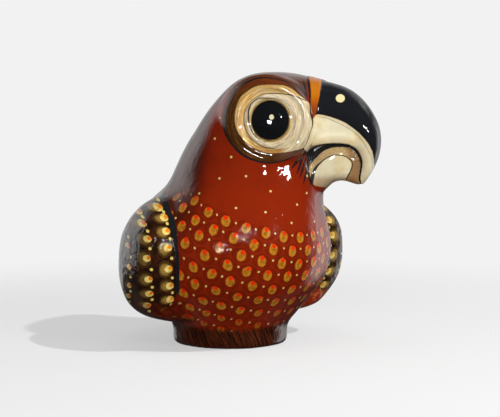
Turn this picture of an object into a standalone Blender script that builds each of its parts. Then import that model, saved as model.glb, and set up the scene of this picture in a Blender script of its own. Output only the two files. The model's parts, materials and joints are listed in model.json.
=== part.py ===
# Papier-mache parrot ornament: one closed, moulded body on a round foot.
#
# +Z is up and the breast faces -Y. The origin is the middle of the foot's underside.
# The head is turned to the bird's own left, which is +X.
# Free-form outlines are shares of the bird's height, so the pose keeps when the height changes.

import math

import bmesh
import bpy
import numpy as np
from mathutils import Matrix, Vector

# Driving sizes, in metres and degrees
HEIGHT = 0.330
FOOT_HEIGHT = 0.0245
FOOT_RADIUS = 0.0700
FOOT_EDGE_ROUND = 0.0045
HEAD_TURN = 38.0

EYE_BALL_RADIUS = 0.0235
EYE_BALL_DOME = 0.0100
EYE_RING_RADIUS = 0.0300
EYE_RING_RISE = 0.0050
EYE_RIM_RADIUS = 0.0420
EYE_RIM_RISE = 0.0045
EYE_SKIRT = 0.0105
EYE_TOE_IN = 12.0
EYE_LEAN = 3.0

# How finely the forms are divided
BODY_SIDES = 48
RINGS_PER_SECTION = 2
LOBE_SIDES = 24
EYE_SIDES = 32

# The bird's body and head as sections from the foot up the neck, over the crown and out to the
# beak's tip. Each section is a closed ring between a point on the back outline and a point on the
# front outline of the bird seen from its side.
# Columns: back point forward, back point up, front point forward, front point up, half width,
# share of the head's turn, squareness of the back half, squareness of the front half.
# Forward and width are in hundredths of HEIGHT, up is in hundredths of the height above the foot.
BODY_SECTIONS = [
    (-23.8, 3.2, 23.8, 3.2, 24.2, 0, 2, 2),
    (-27.0, 7.2, 26.8, 7.2, 27.3, 0, 2, 2),
    (-30.5, 11.6, 30.1, 11.6, 30.9, 0, 2, 2),
    (-33.5, 15.7, 33.3, 15.7, 34.0, 0, 2, 2),
    (-35.7, 20.9, 35.7, 20.9, 36.4, 0, 2, 2),
    (-36.8, 27.3, 37.0, 27.3, 37.5, 0, 2, 2),
    (-36.8, 33.7, 37.2, 33.3, 37.5, 0.05, 2, 2),
    (-35.3, 40.2, 36.6, 39.0, 36.2, 0.2, 2, 2),
    (-32.0, 45.8, 35.5, 44.2, 33.5, 0.45, 2, 2),
    (-27.5, 50.6, 34.9, 48.6, 30.5, 0.7, 2, 2),
    (-23.4, 54.6, 34.9, 52.2, 28.3, 0.9, 2, 2),
    (-20.3, 61.0, 35.1, 55.4, 26.2, 1, 2, 2),
    (-16.7, 68.7, 34.9, 59.0, 24.5, 1, 2.1, 2),
    (-12.8, 75.5, 34.2, 62.7, 23.2, 1, 2.2, 2),
    (-8.2, 82.7, 33.6, 65.9, 22.3, 1, 2.5, 2),
    (-2.6, 89.8, 33.5, 68.3, 21.6, 1, 2.8, 2.1),
    (4.1, 96.6, 33.5, 69.5, 20.8, 1, 3, 2.2),
    (11.5, 99.8, 33.8, 70.5, 20.3, 1, 3, 2.4),
    (19.3, 100.0, 34.4, 71.3, 19.5, 1, 3, 2.6),
    (26.8, 98.9, 34.9, 71.9, 18.2, 1, 2.7, 2.9),
    (31.2, 97.7, 35.7, 72.3, 16.5, 1, 2.3, 3.4),
    (36.1, 96.6, 37.2, 72.7, 14.1, 1, 2, 4),
    (43.1, 94.6, 39.6, 73.1, 11.9, 1, 2, 4),
    (49.4, 90.2, 42.4, 73.3, 10.2, 1, 2, 4),
    (53.9, 84.3, 45.4, 72.9, 8.7, 1, 2, 4),
    (56.3, 78.1, 47.8, 71.5, 7.4, 1, 2, 4),
    (56.8, 72.5, 49.2, 68.9, 6.1, 1, 2, 4),
    (55.8, 67.1, 50.1, 65.9, 4.8, 1, 2, 3.4),
    (54.0, 62.2, 50.5, 63.1, 3.7, 1, 2, 3),
    (52.1, 58.8, 50.4, 60.2, 2.5, 1, 2, 2.4),
    (50.9, 56.8, 50.1, 58.0, 1.3, 1, 2, 2),
]
BEAK_TIP = (50.2, 56.0)

# The lower beak, tucked under the upper one: top and bottom outline points, then half width.
LOWER_BEAK_SECTIONS = [
    (30.5, 70.7, 32.0, 52.2, 5.6),
    (34.6, 73.5, 35.1, 52.6, 7.8),
    (38.7, 74.3, 38.3, 56.2, 7.6),
    (42.4, 74.3, 41.4, 57.6, 7.1),
    (45.7, 72.7, 44.2, 57.8, 6.1),
    (48.3, 69.5, 46.8, 56.8, 4.8),
    (50.2, 65.9, 49.3, 56.2, 3.2),
    (50.9, 61.0, 50.4, 56.4, 1.5),
]
LOWER_BEAK_SQUARENESS = 2.6

# One folded wing as level slices: up, forward reach of its front edge, of its rear edge, and its
# outward reach.
WING_SLICES = [
    (2.6, 5.4, -13.5, 27.0),
    (4.8, 9.4, -19.5, 36.0),
    (9.2, 10.6, -24.5, 41.1),
    (14.9, 13.0, -26.0, 44.2),
    (22.1, 14.5, -26.4, 46.0),
    (30.9, 15.0, -26.4, 45.6),
    (36.9, 14.3, -24.5, 44.9),
    (41.4, 12.6, -21.9, 43.0),
    (45.4, 9.7, -19.3, 39.8),
    (48.2, 6.7, -16.7, 36.0),
    (50.4, 3.2, -14.1, 31.6),
    (51.8, -0.8, -11.5, 27.0),
]
WING_ROOT = 14.8
WING_INNER = 6.0
WING_WIDEST = 0.72
WING_FRONT_SQUARENESS = 5.0

# The short tail folded against the back: up, rearward reach and half width.
TAIL_SLICES = [
    (2.2, 27.0, 9.0),
    (6.0, 33.0, 12.0),
    (13.0, 38.0, 13.5),
    (20.5, 40.2, 13.0),
    (28.0, 39.8, 11.0),
    (34.0, 37.8, 7.5),
]
TAIL_ROOT = 20.0

EYE_PLACE = (21.5, 81.7, 19.6)

BODY_COLOUR = (0.26, 0.045, 0.016, 1.0)
BODY_ROUGHNESS = 0.18


def across(share):
    """A level distance given in hundredths of the height, in metres."""
    return share / 100 * HEIGHT


def above_foot(share):
    """A height given in hundredths of the body above the foot, in metres."""
    return FOOT_HEIGHT + share / 100 * (HEIGHT - FOOT_HEIGHT)


def smooth_rows(rows, steps):
    """The rows with steps - 1 more between each two, on a Catmull-Rom curve through them."""
    rows = np.array(rows, float)
    padded = np.vstack([2 * rows[0] - rows[1], rows, 2 * rows[-1] - rows[-2]])
    found = []
    for before, start, end, after in zip(padded, padded[1:], padded[2:], padded[3:]):
        for step in range(steps):
            t = step / steps
            found.append(
                0.5
                * (
                    2 * start
                    + (end - before) * t
                    + (2 * before - 5 * start + 4 * end - after) * t**2
                    + (3 * start - before - 3 * end + after) * t**3
                )
            )
    found.append(rows[-1])
    return np.array(found)


def rounded(value, squareness):
    """A sine or cosine bent from a circle's, at squareness 2, towards a box's."""
    return math.copysign(abs(value) ** (2 / squareness), value)


def ring_between(back, front, half_width, squareness_back, squareness_front, sides):
    """A closed ring round the line from back to front, both (forward, up) points."""
    middle = (back + front) / 2
    reach = (back - front) / 2
    points = []
    for side in range(sides):
        angle = 2 * math.pi * side / sides
        along, out = math.cos(angle), math.sin(angle)
        squareness = squareness_back if along > 0 else squareness_front
        forward, up = middle + reach * rounded(along, squareness)
        points.append(Vector((half_width * rounded(out, squareness), -forward, up)))
    return points


def turned(points, degrees):
    """The points turned about the upright axis through the foot."""
    turn = Matrix.Rotation(math.radians(degrees), 3, "Z")
    return [turn @ point for point in points]


def closed_loft(name, rings, first_end, last_end):
    """A closed mesh object over the rings, drawn together to a point at each end."""
    mesh = bmesh.new()
    loops = [[mesh.verts.new(point) for point in ring] for ring in rings]
    sides = len(rings[0])
    for lower, upper in zip(loops, loops[1:]):
        for side in range(sides):
            after = (side + 1) % sides
            mesh.faces.new((lower[side], lower[after], upper[after], upper[side]))
    for loop, end in ((loops[0], first_end), (loops[-1], last_end)):
        point = mesh.verts.new(end)
        for side in range(sides):
            mesh.faces.new((loop[side], loop[(side + 1) % sides], point))
    bmesh.ops.recalc_face_normals(mesh, faces=mesh.faces)
    data = bpy.data.meshes.new(name)
    mesh.to_mesh(data)
    mesh.free()
    data.shade_smooth()
    made = bpy.data.objects.new(name, data)
    bpy.context.collection.objects.link(made)
    return made


def mean(points):
    return sum(points, Vector()) / len(points)


def foot_rings():
    """The round foot, from its flat underside up its straight side."""
    edge = FOOT_EDGE_ROUND
    corner = [
        (FOOT_RADIUS - edge + edge * math.sin(angle), edge - edge * math.cos(angle))
        for angle in np.radians([0, 30, 60, 90])
    ]
    flat = [(FOOT_RADIUS * share, 0.0) for share in (0.3, 0.62)]
    side = [(FOOT_RADIUS, FOOT_HEIGHT * 0.55), (FOOT_RADIUS * 1.005, FOOT_HEIGHT)]
    rings = []
    for radius, up in flat + corner + side:
        back, front = np.array((-radius, up)), np.array((radius, up))
        rings.append(ring_between(back, front, radius, 2, 2, BODY_SIDES))
    return rings


def bird_body():
    """Foot, breast, back, neck, head and upper beak, as one loft."""
    rings = foot_rings()
    for row in smooth_rows(BODY_SECTIONS, RINGS_PER_SECTION):
        back_f, back_up, front_f, front_up, half_width, turn, square_back, square_front = row
        ring = ring_between(
            np.array((across(back_f), above_foot(back_up))),
            np.array((across(front_f), above_foot(front_up))),
            across(half_width),
            square_back,
            square_front,
            BODY_SIDES,
        )
        rings.append(turned(ring, HEAD_TURN * turn))
    tip = Vector((0, -across(BEAK_TIP[0]), above_foot(BEAK_TIP[1])))
    return closed_loft("bird", rings, Vector((0, 0, 0)), turned([tip], HEAD_TURN)[0])


def lower_beak():
    """The lower beak: its rear end is inside the throat and its front end inside the upper beak."""
    rings = []
    for top_f, top_up, bottom_f, bottom_up, half_width in smooth_rows(LOWER_BEAK_SECTIONS, 2):
        ring = ring_between(
            np.array((across(top_f), above_foot(top_up))),
            np.array((across(bottom_f), above_foot(bottom_up))),
            across(half_width),
            LOWER_BEAK_SQUARENESS,
            LOWER_BEAK_SQUARENESS,
            LOBE_SIDES,
        )
        rings.append(turned(ring, HEAD_TURN))
    return closed_loft("lower_beak_form", rings, mean(rings[0]), mean(rings[-1]))


def wing(side):
    """One folded wing, on the bird's left where side is 1 and on its right where it is -1.

    Each slice is widest near its front, where the shoulder is, and runs out into the back."""
    rings = []
    for up, front, rear, reach in smooth_rows(WING_SLICES, 2):
        widest = rear + (front - rear) * WING_WIDEST
        ring = []
        for number in range(LOBE_SIDES):
            angle = 2 * math.pi * number / LOBE_SIDES
            ahead, out = math.cos(angle), math.sin(angle)
            squareness = WING_FRONT_SQUARENESS if ahead > 0 and out > 0 else 2
            half_length = front - widest if ahead > 0 else widest - rear
            half_reach = reach - WING_ROOT if out > 0 else WING_INNER
            forward = widest + half_length * rounded(ahead, squareness)
            outward = WING_ROOT + half_reach * rounded(out, squareness)
            ring.append(Vector((side * across(outward), -across(forward), above_foot(up))))
        rings.append(ring)
    low, high = mean(rings[0]), mean(rings[-1])
    high.z += across(0.6)
    return closed_loft(f"wing_form_{'left' if side > 0 else 'right'}", rings, low, high)


def tail():
    """The short tail folded against the back."""
    rings = []
    for up, reach, half_width in smooth_rows(TAIL_SLICES, 2):
        height = above_foot(up)
        back = np.array((-across(reach), height))
        front = np.array((-across(TAIL_ROOT), height))
        rings.append(ring_between(back, front, across(half_width), 2.4, 2, LOBE_SIDES // 2))
    return closed_loft("tail_form", rings, mean(rings[0]), mean(rings[-1]))


def eye_profile():
    """(radius, rise) points of the eye from its middle outwards, above the side of the head."""
    ball, ring, rim = EYE_BALL_RADIUS, EYE_RING_RADIUS, EYE_RIM_RADIUS
    groove = (ball + ring) / 2 - 0.001
    valley = (ring + rim) / 2
    floor = EYE_RING_RISE * 0.25
    dome = [
        (ball * math.sin(angle), floor + EYE_BALL_DOME * math.cos(angle))
        for angle in np.radians([0, 22, 44, 66, 84])
    ]
    return dome + [
        (groove - 0.002, floor),
        (groove + 0.001, floor + EYE_RING_RISE * 0.3),
        (ring, EYE_RING_RISE),
        (valley, EYE_RIM_RISE * 0.45),
        (rim - 0.002, EYE_RIM_RISE),
        (rim + 0.003, EYE_RIM_RISE * 0.5),
        (rim + EYE_SKIRT * 0.68, -EYE_SKIRT * 0.42),
        (rim + EYE_SKIRT, -EYE_SKIRT * 0.95),
        (rim + EYE_SKIRT * 1.15, -EYE_SKIRT * 1.9),
    ]


def eye(side):
    """One eye with the turned ring and rim around it, facing out of that side of the head."""
    profile = eye_profile()
    rings = [
        [
            Vector((radius * math.cos(angle), radius * math.sin(angle), rise))
            for angle in np.linspace(0, 2 * math.pi, EYE_SIDES, endpoint=False)
        ]
        for radius, rise in profile[1:]
    ]
    made = closed_loft(
        f"eye_form_{'left' if side > 0 else 'right'}",
        rings,
        Vector((0, 0, profile[0][1])),
        Vector((0, 0, profile[-1][1])),
    )
    forward, up, out = EYE_PLACE
    toe_in, lean = math.radians(EYE_TOE_IN), math.radians(EYE_LEAN)
    facing = Vector((side * math.cos(toe_in), -math.sin(toe_in), math.tan(lean)))
    head_turn = Matrix.Rotation(math.radians(HEAD_TURN), 4, "Z")
    place = Vector((side * across(out), -across(forward), above_foot(up)))
    turn = facing.to_track_quat("Z", "Y").to_matrix().to_4x4()
    made.data.transform(head_turn @ Matrix.Translation(place) @ turn)
    return made


def fuse(whole, forms):
    """Makes one solid of them, with the forms kept as hidden guides."""
    for form in forms:
        form.hide_render = True
        form.display_type = "WIRE"
        union = whole.modifiers.new(f"join_{form.name}", "BOOLEAN")
        union.operation = "UNION"
        union.solver = "EXACT"
        union.object = form


def lacquered_paint():
    """Red-brown paint under a clear lacquer."""
    paint = bpy.data.materials.new("painted_papier_mache")
    paint.use_nodes = True
    shader = paint.node_tree.nodes["Principled BSDF"]
    shader.inputs["Base Color"].default_value = BODY_COLOUR
    shader.inputs["Roughness"].default_value = BODY_ROUGHNESS
    shader.inputs["Metallic"].default_value = 0.0
    shader.inputs["Coat Weight"].default_value = 1.0
    paint.diffuse_color = BODY_COLOUR
    return paint


def main():
    for thing in list(bpy.data.objects):
        bpy.data.objects.remove(thing)
    bird = bird_body()
    fuse(bird, [lower_beak(), wing(1), wing(-1), tail(), eye(1), eye(-1)])
    bird.data.materials.append(lacquered_paint())
    bird.data.set_sharp_from_angle(angle=math.radians(50))


main()
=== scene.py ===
# %% [markdown]
# # A lacquered papier-mache parrot
#
# The real bird is one hollow body of paper pulp, moulded, painted by brush in loose rows of feather
# ovals, and covered with a thick clear lacquer. Everything here follows that order: first the moulded
# form, then the relief pressed into it, then the paint, and last the lacquer and the studio.

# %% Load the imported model
import json
import math

import bpy
import numpy as np
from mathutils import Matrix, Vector, noise
from mathutils.bvhtree import BVHTree

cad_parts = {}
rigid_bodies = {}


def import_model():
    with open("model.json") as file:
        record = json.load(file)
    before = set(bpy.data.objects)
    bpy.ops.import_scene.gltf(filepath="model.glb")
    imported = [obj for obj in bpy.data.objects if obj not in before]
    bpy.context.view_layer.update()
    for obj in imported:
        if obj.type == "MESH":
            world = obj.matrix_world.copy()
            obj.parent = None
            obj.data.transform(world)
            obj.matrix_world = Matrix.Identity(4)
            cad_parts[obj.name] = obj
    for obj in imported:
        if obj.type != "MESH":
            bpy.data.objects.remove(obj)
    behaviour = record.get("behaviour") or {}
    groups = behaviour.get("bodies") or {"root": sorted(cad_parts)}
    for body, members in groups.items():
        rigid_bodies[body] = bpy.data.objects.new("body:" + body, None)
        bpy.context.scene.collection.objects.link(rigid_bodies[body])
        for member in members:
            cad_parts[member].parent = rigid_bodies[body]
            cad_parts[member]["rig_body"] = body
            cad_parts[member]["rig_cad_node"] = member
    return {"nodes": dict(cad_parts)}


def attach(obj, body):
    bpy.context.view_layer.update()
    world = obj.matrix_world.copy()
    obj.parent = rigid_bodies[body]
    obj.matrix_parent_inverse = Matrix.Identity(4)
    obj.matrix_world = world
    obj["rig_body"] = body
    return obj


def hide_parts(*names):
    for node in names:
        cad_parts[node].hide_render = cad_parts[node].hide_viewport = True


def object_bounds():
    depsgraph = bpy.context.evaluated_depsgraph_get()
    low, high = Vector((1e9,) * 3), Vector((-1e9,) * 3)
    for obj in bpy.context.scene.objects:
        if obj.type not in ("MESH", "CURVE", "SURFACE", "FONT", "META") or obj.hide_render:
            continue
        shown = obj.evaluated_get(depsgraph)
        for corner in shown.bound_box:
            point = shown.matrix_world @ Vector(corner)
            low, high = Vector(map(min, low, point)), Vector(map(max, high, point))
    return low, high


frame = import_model()
CAD_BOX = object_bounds()
print("CAD box, mm:", [[round(value * 1000, 1) for value in corner] for corner in CAD_BOX])

# %% [markdown]
# ## The camera
#
# The photograph is taken from the bird's right, a little above level, with a long lens. The camera is
# made first, because painted marks are placed by where they show in the picture: a ray from the camera
# through that spot finds the place on the bird's surface.

# %% Stand the camera where the photographer stood
PIXEL = 0.0012268
PICTURE_WIDTH, PICTURE_HEIGHT = 500, 417
CAMERA_AZIMUTH, CAMERA_HEIGHT_ANGLE, CAMERA_DISTANCE = math.radians(-36), math.radians(5), 2.2
LOOK_RIGHT, LOOK_HEIGHT = 0.0245, 0.1634
SENSOR_WIDTH = 36
FAR_CLIP = 50

to_camera = Vector((
    math.sin(CAMERA_AZIMUTH) * math.cos(CAMERA_HEIGHT_ANGLE),
    -math.cos(CAMERA_AZIMUTH) * math.cos(CAMERA_HEIGHT_ANGLE),
    math.sin(CAMERA_HEIGHT_ANGLE),
))
picture_right = Vector((math.cos(CAMERA_AZIMUTH), math.sin(CAMERA_AZIMUTH), 0))
picture_up = to_camera.cross(picture_right)
look_at = picture_right * LOOK_RIGHT + Vector((0, 0, LOOK_HEIGHT))
camera_place = look_at + to_camera * CAMERA_DISTANCE

bpy.ops.object.camera_add(location=camera_place, rotation=(-to_camera).to_track_quat("-Z", "Y").to_euler())
camera = bpy.context.active_object
camera.name = "photo_camera"
camera.data.sensor_width = SENSOR_WIDTH
camera.data.lens = SENSOR_WIDTH * CAMERA_DISTANCE / (PICTURE_WIDTH * PIXEL)
camera.data.clip_end = FAR_CLIP
bpy.context.scene.camera = camera
print("lens, mm:", round(camera.data.lens, 1))

# %% [markdown]
# ## The moulded form
#
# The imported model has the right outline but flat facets. Wet paper pulp has none: it is smoothed by
# hand over a mould. A copy of the model is merged, rounded once with a subdivision, remeshed into even
# small squares so that the joins of head, wings and eyes become one skin, and then smoothed, which is
# close to what the maker's hand does to the pulp.

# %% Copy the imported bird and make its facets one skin
SKIN_SIZE = 0.0026
MERGE_DISTANCE = 0.00001
solid = frame["nodes"]["bird"]
bpy.ops.object.select_all(action="DESELECT")
solid.select_set(True)
bpy.context.view_layer.objects.active = solid
bpy.ops.object.duplicate()
bird = bpy.context.active_object
bird.name = "painted_bird"
bird.data.name = "painted_bird"
bird.parent = None
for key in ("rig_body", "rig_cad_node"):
    if key in bird:
        del bird[key]
bird.data.materials.clear()


def apply_modifier(piece, kind, **settings):
    """Adds a modifier with these settings to the piece and applies it."""
    bpy.context.view_layer.objects.active = piece
    bpy.ops.object.modifier_add(type=kind)
    modifier = piece.modifiers[-1]
    for key, value in settings.items():
        setattr(modifier, key, value)
    bpy.ops.object.modifier_apply(modifier=modifier.name)


bpy.ops.mesh.customdata_custom_splitnormals_clear()
bpy.ops.object.mode_set(mode="EDIT")
bpy.ops.mesh.select_all(action="SELECT")
bpy.ops.mesh.remove_doubles(threshold=MERGE_DISTANCE)
bpy.ops.mesh.tris_convert_to_quads()
bpy.ops.object.mode_set(mode="OBJECT")
apply_modifier(bird, "SUBSURF", levels=1, render_levels=1)
apply_modifier(bird, "REMESH", mode="VOXEL", voxel_size=SKIN_SIZE)
apply_modifier(bird, "SMOOTH", factor=0.5, iterations=8)
print("skin faces:", len(bird.data.polygons))

# %% [markdown]
# ## Where things are on the bird
#
# The head is turned 38 degrees to the bird's left. In the head's own frame it is the same on both
# sides, so a mark found on the side that shows is also made on the other side: a place is written as
# its distance from the head's middle plane, how far forward it is, and its height.

# %% Measures of the form
HEIGHT = 0.330
HEAD_TURN = math.radians(38)
MM = 0.001


def places(piece):
    """The piece's points as an array of x, y, z rows."""
    found = np.empty(len(piece.data.vertices) * 3)
    piece.data.vertices.foreach_get("co", found)
    return found.reshape(-1, 3)


def move_to(piece, points):
    """Puts the piece's points at these places."""
    piece.data.vertices.foreach_set("co", np.asarray(points, np.float32).ravel())
    piece.data.update()


def head_frame(points):
    """Side distance, forward reach and height of points, seen from the turned head."""
    points = np.atleast_2d(points)
    cos, sin = math.cos(HEAD_TURN), math.sin(HEAD_TURN)
    side = points[:, 0] * cos + points[:, 1] * sin
    forward = points[:, 0] * sin - points[:, 1] * cos
    return np.column_stack((side, forward, points[:, 2]))


def from_head_frame(points):
    """The world places of points given in the head's frame."""
    points = np.atleast_2d(points)
    cos, sin = math.cos(HEAD_TURN), math.sin(HEAD_TURN)
    x = points[:, 0] * cos + points[:, 1] * sin
    y = points[:, 0] * sin - points[:, 1] * cos
    return np.column_stack((x, y, points[:, 2]))


def surface_finder(piece):
    """A search tree over the piece's faces, for rays."""
    bpy.context.view_layer.update()
    return BVHTree.FromObject(piece, bpy.context.evaluated_depsgraph_get())


def picture_ray(column, row):
    """The direction from the camera through this column and row of the picture."""
    across = picture_right * ((column - PICTURE_WIDTH / 2) * PIXEL)
    upward = picture_up * ((PICTURE_HEIGHT / 2 - row) * PIXEL)
    return (across + upward - to_camera * CAMERA_DISTANCE).normalized()


def picture_places(points):
    """The picture column and row of points, as the camera sees them through the bird."""
    offset = points - np.array(camera_place)
    depth = -(offset @ np.array(to_camera))
    scale = CAMERA_DISTANCE / (depth * PIXEL)
    column = PICTURE_WIDTH / 2 + offset @ np.array(picture_right) * scale
    row = PICTURE_HEIGHT / 2 - offset @ np.array(picture_up) * scale
    return np.column_stack((column, row))


def smooth_step(low, high, value):
    """0 below low, 1 above high, and a soft ramp between."""
    t = np.clip((value - low) / (high - low), 0, 1)
    return t * t * (3 - 2 * t)


print("head turned, degrees:", round(math.degrees(HEAD_TURN)))

# %% [markdown]
# ## The eyes
#
# Each eye is a turned form: a glossy dome in a narrow groove, a rounded ring, a shallow valley and an
# outer rim. The skin near an eye is first given smaller faces, and then every point is set to the
# height of the turned profile at its own distance from the eye's axis. This keeps the rings truly
# round. The cheek, the mouth and the band get smaller faces too, for the fine strokes painted there.

# %% Find the eyes' axes
FOOT_HEIGHT = 0.0245
EYE_SIDE, EYE_FORWARD, EYE_UP = 0.196, 0.215, 0.817
EYE_CENTRE_HEAD = np.array((
    EYE_SIDE * HEIGHT,
    EYE_FORWARD * HEIGHT,
    FOOT_HEIGHT + EYE_UP * (HEIGHT - FOOT_HEIGHT),
))
EYE_TOE_IN, EYE_LEAN = math.radians(12), math.radians(3)
EYE_AXIS_HEAD = np.array((math.cos(EYE_TOE_IN), math.sin(EYE_TOE_IN), math.tan(EYE_LEAN)))
EYE_AXIS_HEAD /= np.linalg.norm(EYE_AXIS_HEAD)


def eye_measures(head_points):
    """How far points are from their own side's eye axis, and how high above the eye's base plane."""
    offset = np.column_stack((abs(head_points[:, 0]), head_points[:, 1:])) - EYE_CENTRE_HEAD
    rise = offset @ EYE_AXIS_HEAD
    flat = offset - rise[:, None] * EYE_AXIS_HEAD
    return np.linalg.norm(flat, axis=1), rise


print("eye centre in the head's frame, mm:", (EYE_CENTRE_HEAD / MM).round(1))

# %% Give the skin smaller faces where the form or the paint is fine
def select_faces(piece, wanted):
    """Selects the piece's faces whose entry in wanted is true, and nothing else."""
    bpy.ops.object.mode_set(mode="EDIT")
    bpy.ops.mesh.select_mode(type="FACE")
    bpy.ops.mesh.select_all(action="DESELECT")
    bpy.ops.object.mode_set(mode="OBJECT")
    piece.data.polygons.foreach_set("select", wanted)
    bpy.ops.object.mode_set(mode="EDIT")


def within(values, lowest, highest):
    """True for the values between these two."""
    return (values > lowest) & (values < highest)


middles = np.empty(len(bird.data.polygons) * 3)
bird.data.polygons.foreach_get("center", middles)
middles = head_frame(middles.reshape(-1, 3))
from_middle_plane, ahead, up = abs(middles[:, 0]), middles[:, 1], middles[:, 2]
eye_radius, eye_rise = eye_measures(middles)
near_side = np.column_stack((-from_middle_plane, ahead, up))
column_seen, row_seen = picture_places(from_head_frame(near_side)).T
on_eyes = (eye_radius < 0.047) & (eye_rise > -0.006)
on_crescents = (eye_radius < 0.060) & (from_middle_plane > 0.03) & (eye_rise > -0.03)
on_cheeks = within(column_seen, 287, 313) & within(row_seen, 145, 189) & (ahead > 0.05)
at_mouth = within(ahead, 0.098, 0.185) & within(up, 0.176, 0.262)
at_band = within(ahead, 0.088, 0.122) & (up > 0.255)
select_faces(bird, on_eyes | on_crescents | on_cheeks | at_mouth | at_band)
bpy.ops.mesh.subdivide(number_cuts=1)
bpy.ops.mesh.select_all(action="DESELECT")
bpy.ops.object.mode_set(mode="OBJECT")
apply_modifier(bird, "SMOOTH", factor=0.5, iterations=2)
print("triangles after the finer patches:", sum(face.loop_total - 2 for face in bird.data.polygons))

# %% Turn the eyes' profile into the skin
EYE_PROFILE = [
    (0.0, 9.2), (5.0, 9.0), (10.0, 8.4), (15.0, 7.3), (19.0, 6.0), (22.0, 4.8), (24.0, 3.7),
    (25.2, 3.1), (26.4, 3.9), (28.0, 5.3), (29.4, 5.2), (31.4, 3.9), (33.4, 2.6), (34.6, 2.4), (36.4, 3.2),
    (39.0, 4.7), (41.5, 4.4), (44.0, 3.2), (47.0, 0.9), (50.0, -2.0), (53.0, -6.0),
]


def curve_through(table, steps=8):
    """The table's rows with a smooth curve of points drawn through them."""
    rows = np.array(table, float)
    padded = np.vstack([2 * rows[0] - rows[1], rows, 2 * rows[-1] - rows[-2]])
    found = []
    for before, start, end, after in zip(padded, padded[1:], padded[2:], padded[3:]):
        for t in np.arange(steps) / steps:
            bend = 2 * before - 5 * start + 4 * end - after
            twist = 3 * start - before - 3 * end + after
            found.append(0.5 * (2 * start + (end - before) * t + bend * t**2 + twist * t**3))
    found.append(rows[-1])
    return np.array(found)


HOLD_FULL, HOLD_ENDS = 0.0435, 0.0480
HOLD_BELOW = -0.02
points = head_frame(places(bird))
eye_radius, eye_rise = eye_measures(points)
eye_curve = curve_through(EYE_PROFILE) * MM
wanted_rise = np.interp(eye_radius, eye_curve[:, 0], eye_curve[:, 1])
hold = (1 - smooth_step(HOLD_FULL, HOLD_ENDS, eye_radius)) * (eye_rise > HOLD_BELOW)
outward = np.column_stack((
    np.sign(points[:, 0]) * EYE_AXIS_HEAD[0],
    np.full(len(points), EYE_AXIS_HEAD[1]),
    np.full(len(points), EYE_AXIS_HEAD[2]),
))
points += outward * ((wanted_rise - eye_rise) * hold)[:, None]
print("points turned into the eyes:", int((hold > 0).sum()))

# %% [markdown]
# ## The pulp behind the eyes
#
# Behind each eye the cheek falls away evenly from the outer rim, as if a wad of pulp had been pressed
# into the corner there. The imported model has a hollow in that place. Every point below a falling curve
# is lifted to it along the eye's axis, which meets the steep skin there at a slant. The lift fades at
# both ends, so that no seam shows where the filling stops.

# %% Fill the hollow behind the eyes
CRESCENT_PROFILE = [
    (42.0, 3.4), (46.0, 3.0), (50.0, 1.0), (54.0, -2.4), (58.0, -7.0), (62.0, -12.0), (70.0, -23.0),
]
CRESCENT_BLEND = 0.0015
FILL_STARTS, FILL_FULL = 0.042, 0.047
FILL_FADES, FILL_ENDS = 0.060, 0.070
FILL_BELOW = -0.026
crescent_curve = curve_through(CRESCENT_PROFILE) * MM
eye_radius, eye_rise = eye_measures(points)
missing = np.interp(eye_radius, crescent_curve[:, 0], crescent_curve[:, 1]) - eye_rise
filled = (missing + np.sqrt(missing**2 + CRESCENT_BLEND**2)) / 2
behind_eye = (EYE_CENTRE_HEAD[1] - points[:, 1]) / np.maximum(eye_radius, MM)
filled *= smooth_step(-0.30, 0.30, behind_eye) * smooth_step(FILL_STARTS, FILL_FULL, eye_radius)
filled *= (1 - smooth_step(FILL_FADES, FILL_ENDS, eye_radius)) * (eye_rise > FILL_BELOW)
points += outward * filled[:, None]
move_to(bird, from_head_frame(points))
print("longest lift along the eye's axis, mm:", round(float(filled.max()) / MM, 1))

# %% [markdown]
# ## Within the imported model's box
#
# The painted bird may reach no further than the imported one. Whatever stands out of that box after the
# smoothing and the turning is pressed back to its sides.

# %% Keep the form inside the box and shade it smooth
BOX_LOW, BOX_HIGH = np.array(CAD_BOX[0]), np.array(CAD_BOX[1])
move_to(bird, np.clip(places(bird), BOX_LOW, BOX_HIGH))
bpy.ops.object.select_all(action="DESELECT")
bird.select_set(True)
bpy.context.view_layer.objects.active = bird
bpy.ops.object.shade_smooth()
print("height, mm:", round(float(places(bird)[:, 2].max()) / MM, 1))

# %% [markdown]
# ## Where the paint goes
#
# A brush painter works by eye from the side, so the marks on the head are written the same way: by
# column and row of the picture. Every point of the bird is given the column and row where it shows,
# with the far half of the head mirrored onto the near half. Each stroke and each painted area is then
# turned into a smooth measure on the skin, its distance from the edge, which the material reads.

# %% Columns and rows of the picture for every point
def look_at_skin():
    """The skin's points, the same in the head's frame, and the column and row where each one shows."""
    skin = places(bird)
    on_head = head_frame(skin)
    near_half = on_head.copy()
    near_half[:, 0] = -abs(near_half[:, 0])
    return skin, on_head, picture_places(from_head_frame(near_half))


skin, on_head, seen = look_at_skin()
print("picture columns:", seen[:, 0].min().round(), "to", seen[:, 0].max().round())


def store(name, values, kind="FLOAT"):
    """Keeps one value, or three for a vector, at each of the bird's points."""
    attribute = bird.data.attributes.new(name, kind, "POINT")
    field = "vector" if kind == "FLOAT_VECTOR" else "value"
    attribute.data.foreach_set(field, np.asarray(values, np.float32).ravel())


# %% Distances from painted lines and areas
FAR_OFF = 99.0
BRUSH_REACH = 5


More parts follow.
